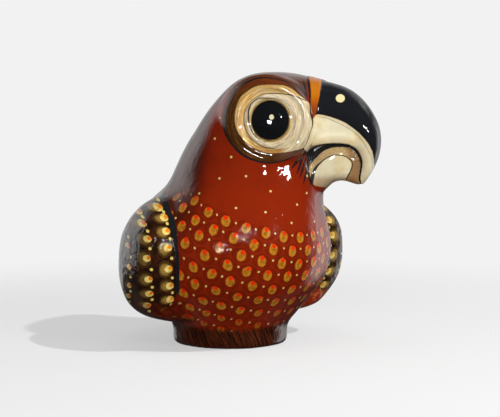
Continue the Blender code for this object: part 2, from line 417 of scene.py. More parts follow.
def to_line(spots, line):
    """For each spot: signed distance to the line, share of the way along it, and plain distance."""
    signed = np.full(len(spots), FAR_OFF)
    share = np.zeros(len(spots))
    plain = np.full(len(spots), FAR_OFF)
    lengths = np.linalg.norm(np.diff(line, axis=0), axis=1)
    travelled = np.concatenate(([0], np.cumsum(lengths)))
    for number, (start, end) in enumerate(zip(line, line[1:])):
        way = end - start
        size = max(way @ way, 1e-12)
        t = np.clip((spots - start) @ way / size, 0, 1)
        off = spots - start - t[:, None] * way
        distance = np.linalg.norm(off, axis=1)
        side = np.sign(way[0] * off[:, 1] - way[1] * off[:, 0])
        nearer = distance < plain
        plain[nearer] = distance[nearer]
        signed[nearer] = (distance * np.where(side == 0, 1, side))[nearer]
        share[nearer] = ((travelled[number] + t * lengths[number]) / travelled[-1])[nearer]
    return signed, share, plain


def brush(*strokes):
    """One vector per point for these strokes: signed distance, half width there, plain distance.

    A stroke is rows of column, row and width. The nearest stroke counts."""
    found = np.tile((FAR_OFF, 0.0, FAR_OFF), (len(seen), 1))
    for stroke in strokes:
        rows = curve_through(stroke, 5)
        low, high = rows[:, :2].min(0) - BRUSH_REACH, rows[:, :2].max(0) + BRUSH_REACH
        close = np.where(((seen > low) & (seen < high)).all(1))[0]
        signed, share, plain = to_line(seen[close], rows[:, :2])
        half = np.interp(share, np.linspace(0, 1, len(rows)), rows[:, 2]) / 2
        better = plain - half < found[close, 2] - found[close, 1]
        found[close[better]] = np.column_stack((signed, half, plain))[better]
    return found


def area(corners, spots=None, smooth=4):
    """Signed distance of spots from a closed outline, negative inside it."""
    spots = seen if spots is None else spots
    rows = np.array(corners, float)
    outline = curve_through(rows, smooth) if smooth else rows
    outline = np.vstack((outline, outline[:1]))
    plain = to_line(spots, outline)[2]
    inside = np.zeros(len(spots), bool)
    for (x0, y0), (x1, y1) in zip(outline, outline[1:]):
        if y0 != y1:
            crosses = (spots[:, 1] > y0) != (spots[:, 1] > y1)
            inside ^= crosses & (spots[:, 0] < x0 + (spots[:, 1] - y0) / (y1 - y0) * (x1 - x0))
    return np.where(inside, -plain, plain)


def middle_of(stroke):
    """The columns and rows of a stroke, without its widths."""
    return [(column, row) for column, row, width in stroke]


print("points that take marks:", len(seen))

# %% [markdown]
# ## The lip of the beak
#
# The side of the upper beak stays flat right down to the mouth and ends there in a lip, with the lower
# beak set back behind it. The skin above the mouth's line is therefore drawn out to the beak's own
# width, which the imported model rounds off.

# %% Draw the beak's side down to the mouth
MOUTH_UPPER = [
    (307.1, 151.3), (310, 148.3), (315, 146.3), (321.7, 144.6), (327.5, 143.6), (335, 143.2), (343.3, 143.3),
    (350, 144.6), (355, 147.5), (359.2, 151.7), (361.7, 156.7), (362.9, 161.7), (362.5, 166.7),
    (361.3, 172.5), (360.4, 178.3), (361, 182.1), (363.5, 188),
]
MOUTH_LOWER = [
    (361.5, 188), (359.8, 183.3), (358.5, 179.2), (358.8, 175), (359.6, 170), (360.4, 165), (359.6, 160),
    (357.5, 155), (354.2, 150.8), (349.2, 147.9), (343.3, 147.1), (336.7, 147.1), (330, 148.3), (325, 150.4),
    (320.8, 153.3), (316.7, 157.5), (312.5, 161.7), (309.2, 165.8), (308.2, 170), (306.9, 162), (306.6, 155),
]
BEAK_SIDE = [
    (306, 47.0), (312, 46.0), (320, 43.8), (330, 38.0), (340, 34.0), (350, 30.4), (358, 26.0), (364, 21.0),
]
LIP_REACH, LIP_FADE = 16, 9
RIDGE_HALF_WIDTH = 0.008
side_there = np.interp(seen[:, 0], *np.array(BEAK_SIDE).T) * MM
above_mouth = area([*MOUTH_UPPER, (363, 200), (300, 200), (303, 158)], smooth=0)
lip = smooth_step(0.2, 1.6, above_mouth) * (1 - smooth_step(LIP_REACH - LIP_FADE, LIP_REACH, above_mouth))
lip *= smooth_step(308, 318, seen[:, 0]) * (1 - smooth_step(352, 360, seen[:, 0]))
lip *= (on_head[:, 1] > 0.09) * within(seen[:, 1], 124, 150)
off_middle = abs(on_head[:, 0])
drawn_out = np.maximum(side_there - off_middle, 0) * lip * (off_middle > RIDGE_HALF_WIDTH)
on_head[:, 0] += np.sign(on_head[:, 0]) * drawn_out
move_to(bird, from_head_frame(on_head))
skin, on_head, seen = look_at_skin()
print("points drawn out to the lip:", int((drawn_out > 0.0005).sum()))

# %% [markdown]
# ## Areas of the beak
#
# The beak is cream below and black along its ridge, with an orange band where it meets the forehead,
# and the mouth is a wide black stroke between two edges. Each area is an outline in columns and rows.
# Neighbours share one edge, as they do where one coat of paint stops at the next.

# %% Ridge, band, cream and mouth
ABOVE = 40
NOT_HERE = 30
FACE_REACH = 0.08
BEAK_LINE = [
    (315, 115), (317.5, 114.2), (323.3, 115), (330, 116.7), (337.5, 119.2), (345, 122.5), (352.5, 127.5),
    (359.2, 132.9), (365, 139.2), (369.2, 145), (372.1, 151.7), (373.3, 158.3), (373.6, 163.3), (374, 169),
]
FACE_LINE = [
    (303.8, 147), (305.4, 144.2), (307.9, 138.3), (310, 131.7), (311.8, 126.7), (312.1, 121.7), (313, 117),
]
RIDGE_REAR = [(321.3, ABOVE), (321.3, 80), (320.4, 86.7), (319.2, 96.7), (316.7, 107.5)]
RIDGE_FRONT = [(400, 185), (430, ABOVE)]
BAND_OUTLINE = [
    (306.7, ABOVE), (307.1, 76.7), (309.2, 85), (310, 95), (310.2, 107.5), (312.6, 118),
    (315.2, 115), (317.0, 107.5), (319.4, 96.7), (320.6, 86.7), (321.4, 80), (321.4, ABOVE),
]
UNDER_THE_BEAK = [
    (400, 180), (400, 196), (342, 196), (334, 189), (322, 186.6), (315.5, 185.6), (311, 183.5),
    (308.2, 176), (307.3, 166), (305.8, 155), (303.8, 150),
]
black_ridge = area([*RIDGE_REAR, *BEAK_LINE, *RIDGE_FRONT], smooth=0)
orange_band = area(BAND_OUTLINE, smooth=0)
cream_beak = area([*FACE_LINE, *BEAK_LINE, *UNDER_THE_BEAK], smooth=0)
black_mouth = area([*MOUTH_UPPER, *MOUTH_LOWER], smooth=0)
store("black_ridge", black_ridge)
store("orange_band", orange_band)
store("cream_beak", np.where(on_head[:, 1] > FACE_REACH, cream_beak, NOT_HERE))
store("mouth_black", black_mouth)
print("points in the black of the mouth:", int((black_mouth < 0).sum()))

# %% [markdown]
# ## Lines round the eye
#
# The crescent and the rings are edged with fine dark lines that swell and thin as a loaded brush does.
# A stroke is therefore a row of places, each with the brush's width there.

# %% Strokes round the eye
BROW_OUTER = [
    (305.8, 100, 0.8), (302.5, 96.7, 1.0), (295, 89.2, 1.2), (288.3, 83.8, 1.3), (281.7, 80.8, 1.2),
    (273.3, 78.8, 1.2), (265, 77.9, 1.3), (256.7, 78.8, 1.5), (250, 81.3, 1.8), (243.3, 84.2, 1.9),
    (237.5, 89.2, 1.8), (232.5, 95, 1.9), (228.3, 102.5, 2.2), (225.4, 110.8, 2.2), (224.2, 119.2, 2.2),
    (224.2, 126.7, 2.0), (225.8, 133.3, 2.0), (229.2, 140, 2.2), (233.3, 145.8, 2.3), (239.2, 152.1, 2.3),
    (245.8, 156.7, 2.2), (253.3, 160, 2.1), (261.7, 162.1, 2.0), (271.7, 162.6, 1.9), (280, 161.3, 1.5),
    (286.7, 159.2, 1.2), (294.2, 155.8, 0.6),
]
RING_OUTER = [
    (303.3, 98.3, 0.5), (298.3, 94.2, 0.8), (292.5, 89.2, 0.9), (286.7, 86.3, 0.8), (280, 85, 0.8),
    (271.7, 84.6, 0.8), (265, 84.6, 0.9), (258.3, 85.4, 1.0), (251.7, 87.9, 1.1), (246.7, 91.3, 1.1),
    (241.7, 95.8, 1.1), (238.8, 100, 1.0), (236.7, 105.8, 1.0), (235, 112.5, 0.9), (234.6, 118.3, 0.9),
    (235, 124.2, 0.8), (237.1, 130.8, 0.8), (240.8, 136.7, 0.8), (245.8, 142.5, 0.8), (251.7, 147.5, 0.8),
    (257.5, 150.4, 0.8), (264.2, 152.9, 0.8), (273.3, 153.8, 0.7), (281.7, 152.9, 0.6), (290, 151.7, 0.5),
    (295, 150, 0.3),
]
LID_AND_RING = [
    (306.3, 101, 0.9), (301.7, 99.2, 1.0), (296.7, 97.1, 1.1), (291.7, 94.9, 1.2), (285.8, 94.2, 1.2),
    (278.3, 93.8, 1.1), (271.7, 93.8, 1.0), (265, 94.2, 0.9), (260, 95.6, 0.8), (255.5, 98, 0.7),
    (250.8, 101.7, 0.7), (247.5, 106.7, 0.8), (245, 112.5, 0.8), (244.2, 118.3, 0.8), (244.6, 124.2, 0.8),
    (246.7, 130.8, 0.8), (250, 135.8, 0.8), (253.3, 140, 0.7), (258.3, 143.8, 0.7), (265, 146.7, 0.7),
    (273.3, 148.3, 0.6), (281.7, 149.2, 0.5), (288.3, 148.3, 0.3),
]
PUPIL_LINE = [
    (289.8, 115, 0.3), (287.9, 108, 0.6), (283.5, 102.7, 0.7), (278.3, 99.6, 0.7), (273.3, 98.2, 0.7),
    (266.7, 97.9, 0.8), (259.2, 98.5, 0.9), (254, 101.5, 1.0), (250.6, 105.5, 1.2), (248.8, 110.8, 1.3),
    (248.3, 118.3, 1.3), (249.2, 125, 1.2), (251.3, 130.8, 1.1), (254.4, 135.5, 0.9), (259, 139.5, 0.7),
    (265, 142.4, 0.5),
]
EYE_STROKES = {
    "brow_line": [BROW_OUTER],
    "ring_line": [RING_OUTER],
    "lid_line": [LID_AND_RING],
    "pupil_line": [PUPIL_LINE],
}
for name, strokes in EYE_STROKES.items():
    store(name, brush(*strokes), "FLOAT_VECTOR")
print("lines round the eye:", len(EYE_STROKES))

# %% [markdown]
# ## Lines of the beak and the feather strokes
#
# A pale line follows the cream's edge, a black one closes the face, and another draws the lower beak.
# Short curved strokes, thick in the middle, stand for the bristles on cheek and forehead.

# %% Strokes of the beak, the cheek and the forehead
CREAM_LINE = [
    (318.3, 117.1, 0.4), (325.8, 117.9, 0.7), (333.3, 120.8, 0.7), (341.7, 124.6, 0.6), (350, 129.2, 0.7),
    (356.7, 134.2, 0.6), (361.7, 140, 0.7), (365.8, 145.8, 0.6), (369.2, 152.5, 0.6), (371.3, 158.3, 0.5),
    (372.1, 163.3, 0.4), (371.7, 168.3, 0.2),
]
LOWER_BEAK_LINE = [
    (311.2, 183.5, 3.0), (311.4, 180.0, 4.0), (312.4, 175.8, 4.0), (314.2, 171, 3.1), (317.4, 166, 2.0),
    (321.7, 161.7, 1.4), (325.8, 158.5, 1.2), (330, 156.3, 1.1), (335, 155.2, 1.1), (340, 155.2, 1.1),
    (345, 156.3, 1.0), (349.2, 159.2, 1.0), (351.7, 162.5, 1.1), (351.8, 166.7, 1.2), (350.4, 170.8, 1.2),
    (348.3, 175, 1.2), (346, 179.5, 1.1),
]
FACE_STROKE = [
    (306.9, 74, 1.6), (307.6, 79, 1.8), (309, 86.7, 2.0), (309.6, 95, 1.8), (309.3, 103.3, 1.5),
    (310, 111.7, 1.0), (311.3, 117.5, 1.2), (312.2, 121.7, 1.8), (311.9, 126.7, 1.4), (310, 131.7, 0.7),
    (307.9, 138.3, 0.7), (305.4, 144.2, 0.6), (303.6, 146.6, 0.4),
]
LEFT_OF_LOWER_BEAK = [
    (307.2, 163, 1.4), (307.9, 170, 2.0), (308.6, 177, 2.4), (310.5, 182.5, 2.2), (313.5, 186.5, 0.8),
]
CHEEK_FEATHERS = [
    [(302.6, 152.5, 1.2), (299.6, 157.2, 2.6), (295.4, 163.2, 3.2), (291.2, 168.4, 1.0)],
    [(304.0, 154.8, 1.2), (301.0, 161.0, 2.2), (298.6, 168.0, 2.2), (296.2, 174.4, 0.7)],
    [(305.4, 158.0, 1.2), (303.4, 165.0, 2.1), (301.4, 172.0, 2.2), (299.2, 178.4, 0.7)],
    [(306.6, 162.0, 1.0), (305.7, 171.0, 1.9), (304.2, 178.5, 2.0), (302.8, 184.8, 0.6)],
    [(302.6, 148.6, 1.4), (305.2, 151.8, 2.3), (306.7, 156.0, 2.1), (307.3, 163.0, 1.6)],
]
FOREHEAD_FEATHERS = [
    [(302.6, 79.5, 0.8), (304.3, 87.0, 1.8), (305.8, 94.0, 1.8), (307.2, 100.0, 0.9)],
    [(299.0, 81.5, 0.7), (301.4, 87.2, 1.5), (303.6, 93.0, 1.5), (305.4, 98.6, 0.7)],
    [(295.0, 82.5, 0.6), (298.0, 86.2, 1.3), (300.8, 90.8, 1.3), (303.2, 95.6, 0.6)],
]
BEAK_STROKES = {
    "face_lines": [FACE_STROKE, LOWER_BEAK_LINE],
    "cream_line": [CREAM_LINE],
    "feather_strokes": [LEFT_OF_LOWER_BEAK, *CHEEK_FEATHERS, *FOREHEAD_FEATHERS],
}
for name, strokes in BEAK_STROKES.items():
    store(name, brush(*strokes), "FLOAT_VECTOR")
store("mouth_recess", area([*MOUTH_LOWER[:-2], *middle_of(LOWER_BEAK_LINE)], smooth=0))
print("kinds of stroke on the beak and face:", len(BEAK_STROKES))

# %% [markdown]
# ## Areas round the eye
#
# The golden ring, the crescent and the paler ring inside are filled up to the lines drawn round them,
# so their outlines are the middles of those strokes, closed along the beak's side of the face.

# %% Pupil, rings and crescent
PUPIL = (270.4, 120.2)
PUPIL_WIDE, PUPIL_TALL, PUPIL_REACH = 18.9, 19.7, 19.3
BESIDE_THE_BEAK = [(308.5, 138), (311.8, 127), (311.5, 115), (309.5, 104)]
on_eye = seen - PUPIL
eye_side = (on_head[:, 1] > -0.03) & (on_head[:, 2] > 0.19)
pupil_distance = np.hypot(on_eye[:, 0] / PUPIL_WIDE, on_eye[:, 1] / PUPIL_TALL) * PUPIL_REACH
store("from_pupil", np.where(eye_side, pupil_distance, FAR_OFF))
store("on_eye", np.column_stack((on_eye, np.zeros(len(seen)))), "FLOAT_VECTOR")
EYE_AREAS = {
    "ring_area": [*middle_of(RING_OUTER), (303.5, 147), *BESIDE_THE_BEAK],
    "brow_area": [*middle_of(BROW_OUTER), (303.8, 150), *BESIDE_THE_BEAK],
    "inner_area": [*middle_of(LID_AND_RING), (296, 146), (304, 138), (309.5, 128), (310.5, 118), (309, 107)],
}
for name, outline in EYE_AREAS.items():
    distance = area(outline)
    store(name, np.where(eye_side, distance, NOT_HERE))
    print("points in", name + ":", int((distance < 0).sum()))

# %% [markdown]
# ## Relief in the pulp
#
# Hand-laid pulp is never quite even, and the lacquer shows it: each bright patch breaks into pieces.
# So the whole skin gets low lumps, the mouth is pressed in beside its black stroke, and the orange
# band stands a little proud, as a strip of paper laid on would.

# %% Lumps, the pressed mouth and the raised band
def point_normals(piece):
    """The direction outwards at each of the piece's points."""
    found = np.empty(len(piece.data.vertices) * 3)
    piece.data.vertices.foreach_get("normal", found)
    return found.reshape(-1, 3)


LUMPS = ((0.034, 0.50), (0.013, 0.16), (0.0065, 0.045))
BALL_SMOOTHER = 0.85
RING_GRAIN, RING_GRAIN_HEIGHT = 0.0036, 0.20
PRESSED_DEPTH, BAND_HEIGHT = 0.9, 1.3
SMOOTHED_AWAY = 0.7
eye_radius, eye_rise = eye_measures(on_head)
on_ball = 1 - smooth_step(0.020, 0.024, eye_radius)
rise = np.zeros(len(skin))
for width, tall in LUMPS:
    rise += [noise.noise(Vector(point) / width) * tall for point in skin]
rise *= 1 - BALL_SMOOTHER * on_ball
ring_share = smooth_step(0.0225, 0.025, eye_radius) * (1 - smooth_step(0.044, 0.050, eye_radius))
ring_share *= eye_rise > HOLD_BELOW
rise += ring_share * [noise.noise(Vector(point) / RING_GRAIN) * RING_GRAIN_HEIGHT for point in skin]
pressed = smooth_step(0.6, -0.9, black_mouth) * PRESSED_DEPTH
raised = smooth_step(1.4, -1.2, orange_band) * smooth_step(0.24, 0.27, skin[:, 2]) * BAND_HEIGHT
skin = skin + point_normals(bird) * ((rise - pressed + raised + SMOOTHED_AWAY) * MM)[:, None]
move_to(bird, np.clip(skin, BOX_LOW, BOX_HIGH))
skin = places(bird)
print("lumps, mm:", round(float(rise.min()), 2), "to", round(float(rise.max()), 2))

# %% [markdown]
# ## Rows of feathers
#
# The breast carries ovals in offset rows, like roof tiles. The rows dip towards the front, where the
# bird looks, and climb round the sides, and the columns spread as they come down. A UV map holds the
# place in that pattern: one unit across is one column of ovals and one unit down is one row.

# %% Lay out the breast's rows
ROW_DROP, COLUMN_WIDTH, TOP_ROW = 15.7, 24.0, 136.7
DIPS_TOWARDS = 13.0
COLUMNS_ROUND = 32
EVEN_REACH = COLUMNS_ROUND * COLUMN_WIDTH / (2 * math.pi)
REACH_HEIGHTS, REACHES = [20, 35, 50, 68, 85, 105], [70, 81, 98, 107, 112, EVEN_REACH]
DIP_HEIGHTS, DIPS = [46, 64, 81, 95, 117, 140, 167], [31, 36, 40, 47, 54, 61, 60]
SPREAD, SPREAD_ENDS = 0.0127, 48

around = np.degrees(np.arctan2(-skin[:, 0], -skin[:, 1]))
from_front = (around + DIPS_TOWARDS + 180) % 360 - 180
height = skin[:, 2] / MM


def reach_at(up):
    """How many millimetres round the body one radian of the pattern covers, at this height."""
    return np.interp(up, REACH_HEIGHTS, REACHES)


def rows_at(angle, up):
    """The column and row of the pattern at this angle from its lowest point and at this height."""
    dip = np.interp(up, DIP_HEIGHTS, DIPS)
    level = up - dip * (1 - np.cos(np.radians(angle)))
    spread = SPREAD * np.clip(TOP_ROW - level, 0, SPREAD_ENDS) * np.sin(np.radians(angle))
    return reach_at(up) * np.radians(angle) / COLUMN_WIDTH - spread, (TOP_ROW - level) / ROW_DROP + 0.5


column, row = rows_at(from_front, height)
print("rows of ovals on the breast:", int(row.max()))

# %% [markdown]
# ## How the pattern lies on the skin
#
# An oval has to stay an oval wherever it falls. So the slope of the pattern is measured at each point,
# by a step of one degree round and one millimetre up, and turned about: it then says how far round and
# how far up a step across or down the pattern goes. Where the skin faces upwards, the height is
# divided by how far it faces out, so that ovals aren't squashed there.

# %% Slopes of the pattern
LEAST_GIRTH, LEAST_TURN, LEAST_FACING = 20, 0.2, 0.35
girth = np.hypot(skin[:, 0], skin[:, 1]) / MM
step_round = np.maximum(girth, LEAST_GIRTH) * math.radians(1)
column_round, row_round = rows_at(from_front + 1, height)
column_up, row_up = rows_at(from_front, height + 1)
across_round = (column_round - column) * COLUMN_WIDTH / step_round
across_up = (column_up - column) * COLUMN_WIDTH
down_round = (row_round - row) * ROW_DROP / step_round
down_up = (row_up - row) * ROW_DROP
turned = across_round * down_up - across_up * down_round
turned = np.where(abs(turned) < LEAST_TURN, np.where(turned < 0, -LEAST_TURN, LEAST_TURN), turned)
facing_out = np.linalg.norm(point_normals(bird)[:, :2], axis=1)
store("facing_out", np.maximum(facing_out, LEAST_FACING))
to_round = np.column_stack((down_up / turned, -across_up / turned, 0 * turned))
to_height = np.column_stack((-down_round / turned, across_round / turned, 0 * turned))
store("to_round", to_round, "FLOAT_VECTOR")
store("to_height", to_height, "FLOAT_VECTOR")
print("points where the slope is held:", int((abs(turned) <= LEAST_TURN).sum()))

# %% Write the pattern into a UV map
corner_points = np.empty(len(bird.data.loops), int)
bird.data.loops.foreach_get("vertex_index", corner_points)
face_of_corner = np.repeat(
    np.arange(len(bird.data.polygons)),
    [face.loop_total for face in bird.data.polygons],
)
corner_angle = from_front[corner_points]
widest = np.full(len(bird.data.polygons), -400.0)
np.maximum.at(widest, face_of_corner, corner_angle)
over_the_back = (widest[face_of_corner] - corner_angle) > 180
full_turn = reach_at(height) * 2 * math.pi / COLUMN_WIDTH
corner_column = column[corner_points] + over_the_back * full_turn[corner_points]
breast_map = bird.data.uv_layers.new(name="breast_rows")
corner_uv = np.column_stack((corner_column, row[corner_points])).astype(np.float32)
breast_map.data.foreach_set("uv", corner_uv.ravel())
print("faces over the back of the pattern:", len(np.unique(face_of_corner[over_the_back])))

# %% [markdown]
# ## The wings' outline
#
# The wings are almost black, edged in front by a thick black line. That line was read off the picture,
# column and row, and a ray from the camera finds each of its places on the bird. The rear edge doesn't
# show, so it is written as angles from the front and heights, and the same outline serves both wings.

# %% Outline of the wings
FRONT_LINE_SEEN = [
    (163, 198), (167.5, 208), (171, 218), (174.6, 232), (176.6, 250), (177.6, 268), (177.6, 286),
    (175.4, 298), (169.5, 306), (161, 311.5),
]
STRAIGHT_ON_DOWN = [(177.2, 300), (175.5, 312), (173, 322)]
TOP_OF_LINE = [(108, 188), (98, 184)]
REAR_OF_WING = [(104, 40), (116, 39), (129, 50), (137, 75), (138, 105), (136, 130), (130, 150), (118, 168)]
ARC = 2.1
BEYOND = 0.4
LEAST_RADIUS = 0.07
tree = surface_finder(bird)


def seen_on_bird(column_seen, row_seen):
    """The point of the bird that shows at this column and row of the picture."""
    return tree.ray_cast(camera_place, picture_ray(column_seen, row_seen))[0]


def outermost(angle, up):
    """The outermost point of the near side at this angle from the front and this height."""
    outward = Vector((-math.sin(math.radians(angle)), -math.cos(math.radians(angle)), 0))
    return tree.ray_cast(outward * BEYOND + Vector((0, 0, up * MM)), -outward)[0]


def along(spots_seen):
    """A smooth line on the near side, from the wing's top through these columns and rows."""
    line = [outermost(angle, up) for angle, up in TOP_OF_LINE]
    line += [seen_on_bird(*spot) for spot in spots_seen]
    return curve_through([tuple(place) for place in line], 4)


def angles_of(line):
    """How far round from the front each place of the line is, in degrees."""
    return np.degrees(np.arctan2(-line[:, 0], -line[:, 1]))


edge_places = along(FRONT_LINE_SEEN)
wing_outline = list(zip(angles_of(edge_places), edge_places[:, 2] / MM)) + REAR_OF_WING
beside = np.abs((around + 180) % 360 - 180)
flat_spots = np.column_stack((beside * ARC, height))
wing_area = area([(angle * ARC, up) for angle, up in wing_outline], flat_spots, smooth=0)
radius_there = np.hypot(skin[:, 0], skin[:, 1])
store("wing_area", np.where(radius_there > LEAST_RADIUS, wing_area, NOT_HERE))
print("points on the wings:", int((wing_area < 0).sum()))

# %% [markdown]
# ## Columns and rows on the wings
#
# The wing's ovals stand in columns that follow the front line. So the columns are counted by distance
# from that line and the rows by height. Far from the line, where the distance runs slantwise, the
# columns are counted round the body instead, with a soft change from the one to the other.

# %% Count the wings' columns and rows
WING_COLUMN, FIRST_COLUMN = 25.0, 10
WING_ROWS = [
    (200, -2), (186, -1), (172.8, 0), (161.2, 1), (146.5, 2), (126.6, 3), (102.2, 4), (81.1, 5),
    (65.6, 6), (50, 7), (35, 8),
]
column_places = along(FRONT_LINE_SEEN[:7] + STRAIGHT_ON_DOWN)
near_half = np.column_stack((-abs(skin[:, 0]), skin[:, 1:]))
behind_edge = np.full(len(skin), FAR_OFF)
for start, end in zip(column_places, column_places[1:]):
    way = end - start
    t = np.clip((near_half - start) @ way / (way @ way), 0, 1)
    behind_edge = np.minimum(behind_edge, np.linalg.norm(near_half - start - t[:, None] * way, axis=1) / MM)
rows_down = curve_through(WING_ROWS, 4)[::-1]
wing_row = np.interp(height, rows_down[:, 0], rows_down[:, 1]) + 0.5
row_height = np.interp(height, rows_down[:, 0], -np.gradient(rows_down[:, 0], rows_down[:, 1]))
line_angle = np.interp(height, column_places[::-1, 2] / MM, angles_of(column_places)[::-1])
round_body = (beside - line_angle) * ARC
far_behind = np.maximum(smooth_step(60, 100, behind_edge), smooth_step(112, 126, beside))
behind_line = behind_edge + far_behind * (round_body - behind_edge)
wing_place = (behind_line - FIRST_COLUMN) / WING_COLUMN + 0.5
store("wing_rows", np.column_stack((wing_place, wing_row, row_height)), "FLOAT_VECTOR")
store("behind_edge", behind_edge)
print("columns of ovals on a wing:", int(wing_place[wing_area < 0].max()) + 1)

# %% [markdown]
# ## Dots on the neck
#
# Between the head and the rows the maker set single dots wherever the red looked empty. Their places
# were read off the picture, and each is also put on the other side of the breast's middle, unless
# another dot is near it. Every point of the skin then keeps its offset from the nearest dot.

# %% Small dots on the neck
NECK_DOTS = [
    (219.4, 178.4), (246, 176.2), (231.2, 157), (270.6, 191.2), (290.4, 177.4), (306.8, 193), (236, 208),
    (265.6, 212.2), (297.2, 204.6), (291.6, 223), (199.2, 193.4), (220, 118), (214.8, 138.6), (237, 87.4),
    (314.4, 221.4),
]
DOTS_APART = 0.018
dots = []
for column_seen, row_seen in NECK_DOTS:
    hit = seen_on_bird(column_seen, row_seen)
    if hit is not None:
        dots.append(np.array(hit))
turn = math.radians(2 * DIPS_TOWARDS)
for dot in list(dots):
    x, y, z = -dot[0], dot[1], dot[2]
    other = Vector((x * math.cos(turn) - y * math.sin(turn), x * math.sin(turn) + y * math.cos(turn), z))
    hit = tree.find_nearest(other)[0]
    if min(np.linalg.norm(np.array(hit) - old) for old in dots) > DOTS_APART:
        dots.append(np.array(hit))
dots = np.array(dots)
gaps = np.linalg.norm(skin[:, None] - dots[None], axis=2)
nearest = gaps.argmin(1)
store("dot_place", (skin - dots[nearest]) / MM, "FLOAT_VECTOR")
store("dot_distance", gaps.min(1) / MM)
print("neck dots:", len(dots))

# %% [markdown]
# ## The paint itself
#
# One material carries all the colours, laid over each other in the order of the brush: the red-brown
# ground, the feathers, the foot, the wings, the eye, the beak, and the black lines last. The same node
# tree could be drawn by hand, but it would be hard to follow. Small helpers keep it readable: each
# makes one node and returns its output, so that a line of code reads like a sum.

# %% Start the material
coat = bpy.data.materials.new("painted_and_lacquered_paper")
coat.use_nodes = True
nodes, links = coat.node_tree.nodes, coat.node_tree.links
shader = nodes["Principled BSDF"]


def colour(red, green, blue):
    """A paint colour from its 0-255 values on a screen, as Blender's linear values."""
    def linear(value):
        value /= 255
        return value / 12.92 if value <= 0.04045 else ((value + 0.055) / 1.055) ** 2.4
    return (linear(red), linear(green), linear(blue), 1.0)


def feed(socket, value):
    """Links the value to the socket if it is an output, or sets it."""
    if isinstance(value, bpy.types.NodeSocket):
        links.new(value, socket)
    else:
        socket.default_value = value


print("material:", coat.name)

# %% Sums
def calc(operation, first, second=0.0, third=0.0):
    """The result of one Math node."""
    node = nodes.new("ShaderNodeMath")
    node.operation = operation
    for socket, value in zip(node.inputs, (first, second, third)):
        feed(socket, value)
    return node.outputs[0]


def plus(first, second):
    """The sum of two values."""
    return calc("ADD", first, second)


def minus(first, second):
    """The first value less the second."""
    return calc("SUBTRACT", first, second)


def times(first, second):
    """The product of two values."""
    return calc("MULTIPLY", first, second)


def size_of(value):
    """The value without its sign."""
    return calc("ABSOLUTE", value)


def ramp(value, low, high, start=0.0, end=1.0):
    """A smooth ramp from start at low to end at high."""
    node = nodes.new("ShaderNodeMapRange")
    node.interpolation_type = "SMOOTHSTEP"
    for name, number in (("From Min", low), ("From Max", high), ("To Min", start), ("To Max", end)):
        feed(node.inputs[name], number)
    feed(node.inputs["Value"], value)
    return node.outputs["Result"]


print("nodes before the sums:", len(nodes))

# %% Colours over each other
def over(below, above, amount):
    """The colour above laid over the one below, by an amount from 0 to 1."""
    node = nodes.new("ShaderNodeMix")
    node.data_type = "RGBA"
    feed(node.inputs[0], amount)
    feed(node.inputs[6], below)
    feed(node.inputs[7], above)
    return node.outputs[2]


def blend(first, second, value, low, high, end=1.0):
    """The first colour, turning into the second as the value goes from low to high."""
    return over(first, second, ramp(value, low, high, 0.0, end))


print("red-brown as Blender has it:", [round(value, 3) for value in colour(146, 40, 12)])

# %% Vectors, noise and what is kept on the skin
def kept(name, output="Fac"):
    """An attribute kept on the bird's points."""
    node = nodes.new("ShaderNodeAttribute")
    node.attribute_name = name
    return node.outputs[output]


def parts(vector):
    """The three numbers of a vector."""
    node = nodes.new("ShaderNodeSeparateXYZ")
    feed(node.inputs[0], vector)
    return node.outputs[0], node.outputs[1], node.outputs[2]


def joined(first, second, third=0.0):
    """A vector of three numbers."""
    node = nodes.new("ShaderNodeCombineXYZ")
    for socket, value in zip(node.inputs, (first, second, third)):
        feed(socket, value)
    return node.outputs[0]


def clouds(vector, scale, detail=2.0, roughness=0.5):
    """Noise between 0 and 1 at this vector."""
    node = nodes.new("ShaderNodeTexNoise")
    feed(node.inputs["Vector"], vector)
    node.inputs["Scale"].default_value = scale
    node.inputs["Detail"].default_value = detail
    node.inputs["Roughness"].default_value = roughness
    return node.outputs["Fac"]


def chance(vector):
    """A random colour for each whole-number vector, as three numbers."""
    node = nodes.new("ShaderNodeTexWhiteNoise")
    node.noise_dimensions = "3D"
    feed(node.inputs["Vector"], vector)
    return parts(node.outputs["Color"])


print("attributes kept on the bird:", len(bird.data.attributes))

# %% Brush marks with a hand's wobble
WOBBLE = 0.7
place = nodes.new("ShaderNodeTexCoord").outputs["Object"]
wobble = times(minus(clouds(place, 420, 3, 0.6), 0.5), WOBBLE)


def inside(name, soft=0.3):
    """1 inside a painted area kept under this name and 0 outside, with a hand-painted edge."""
    return ramp(plus(kept(name), wobble), soft, -soft)


def stroke(name, strength=1.0, soft=0.22, thick=False):
    """1 where the brush strokes kept under this name have put paint.

    Thick strokes that lie close together use the plain distance, thin ones the signed distance."""
    signed, half, plain = parts(kept(name, "Vector"))
    distance = plain if thick else size_of(signed)
    edge = minus(distance, plus(half, times(wobble, 0.35)))
    near = ramp(minus(plain, half), 1.3, 0.8)
    drawn = times(times(ramp(edge, soft, -soft), near), calc("GREATER_THAN", half, 0.06))
    return times(drawn, strength)


print("nodes before the first colour:", len(nodes))

# %% [markdown]
# ## Ground and nape
#
# The body is brushed rust-red, thinner in some places than in others, and the nape is darkened with
# brown. Two noises at different scales make the patches and the brush's streaks, and the nape is told
# by how far round the body a point lies.

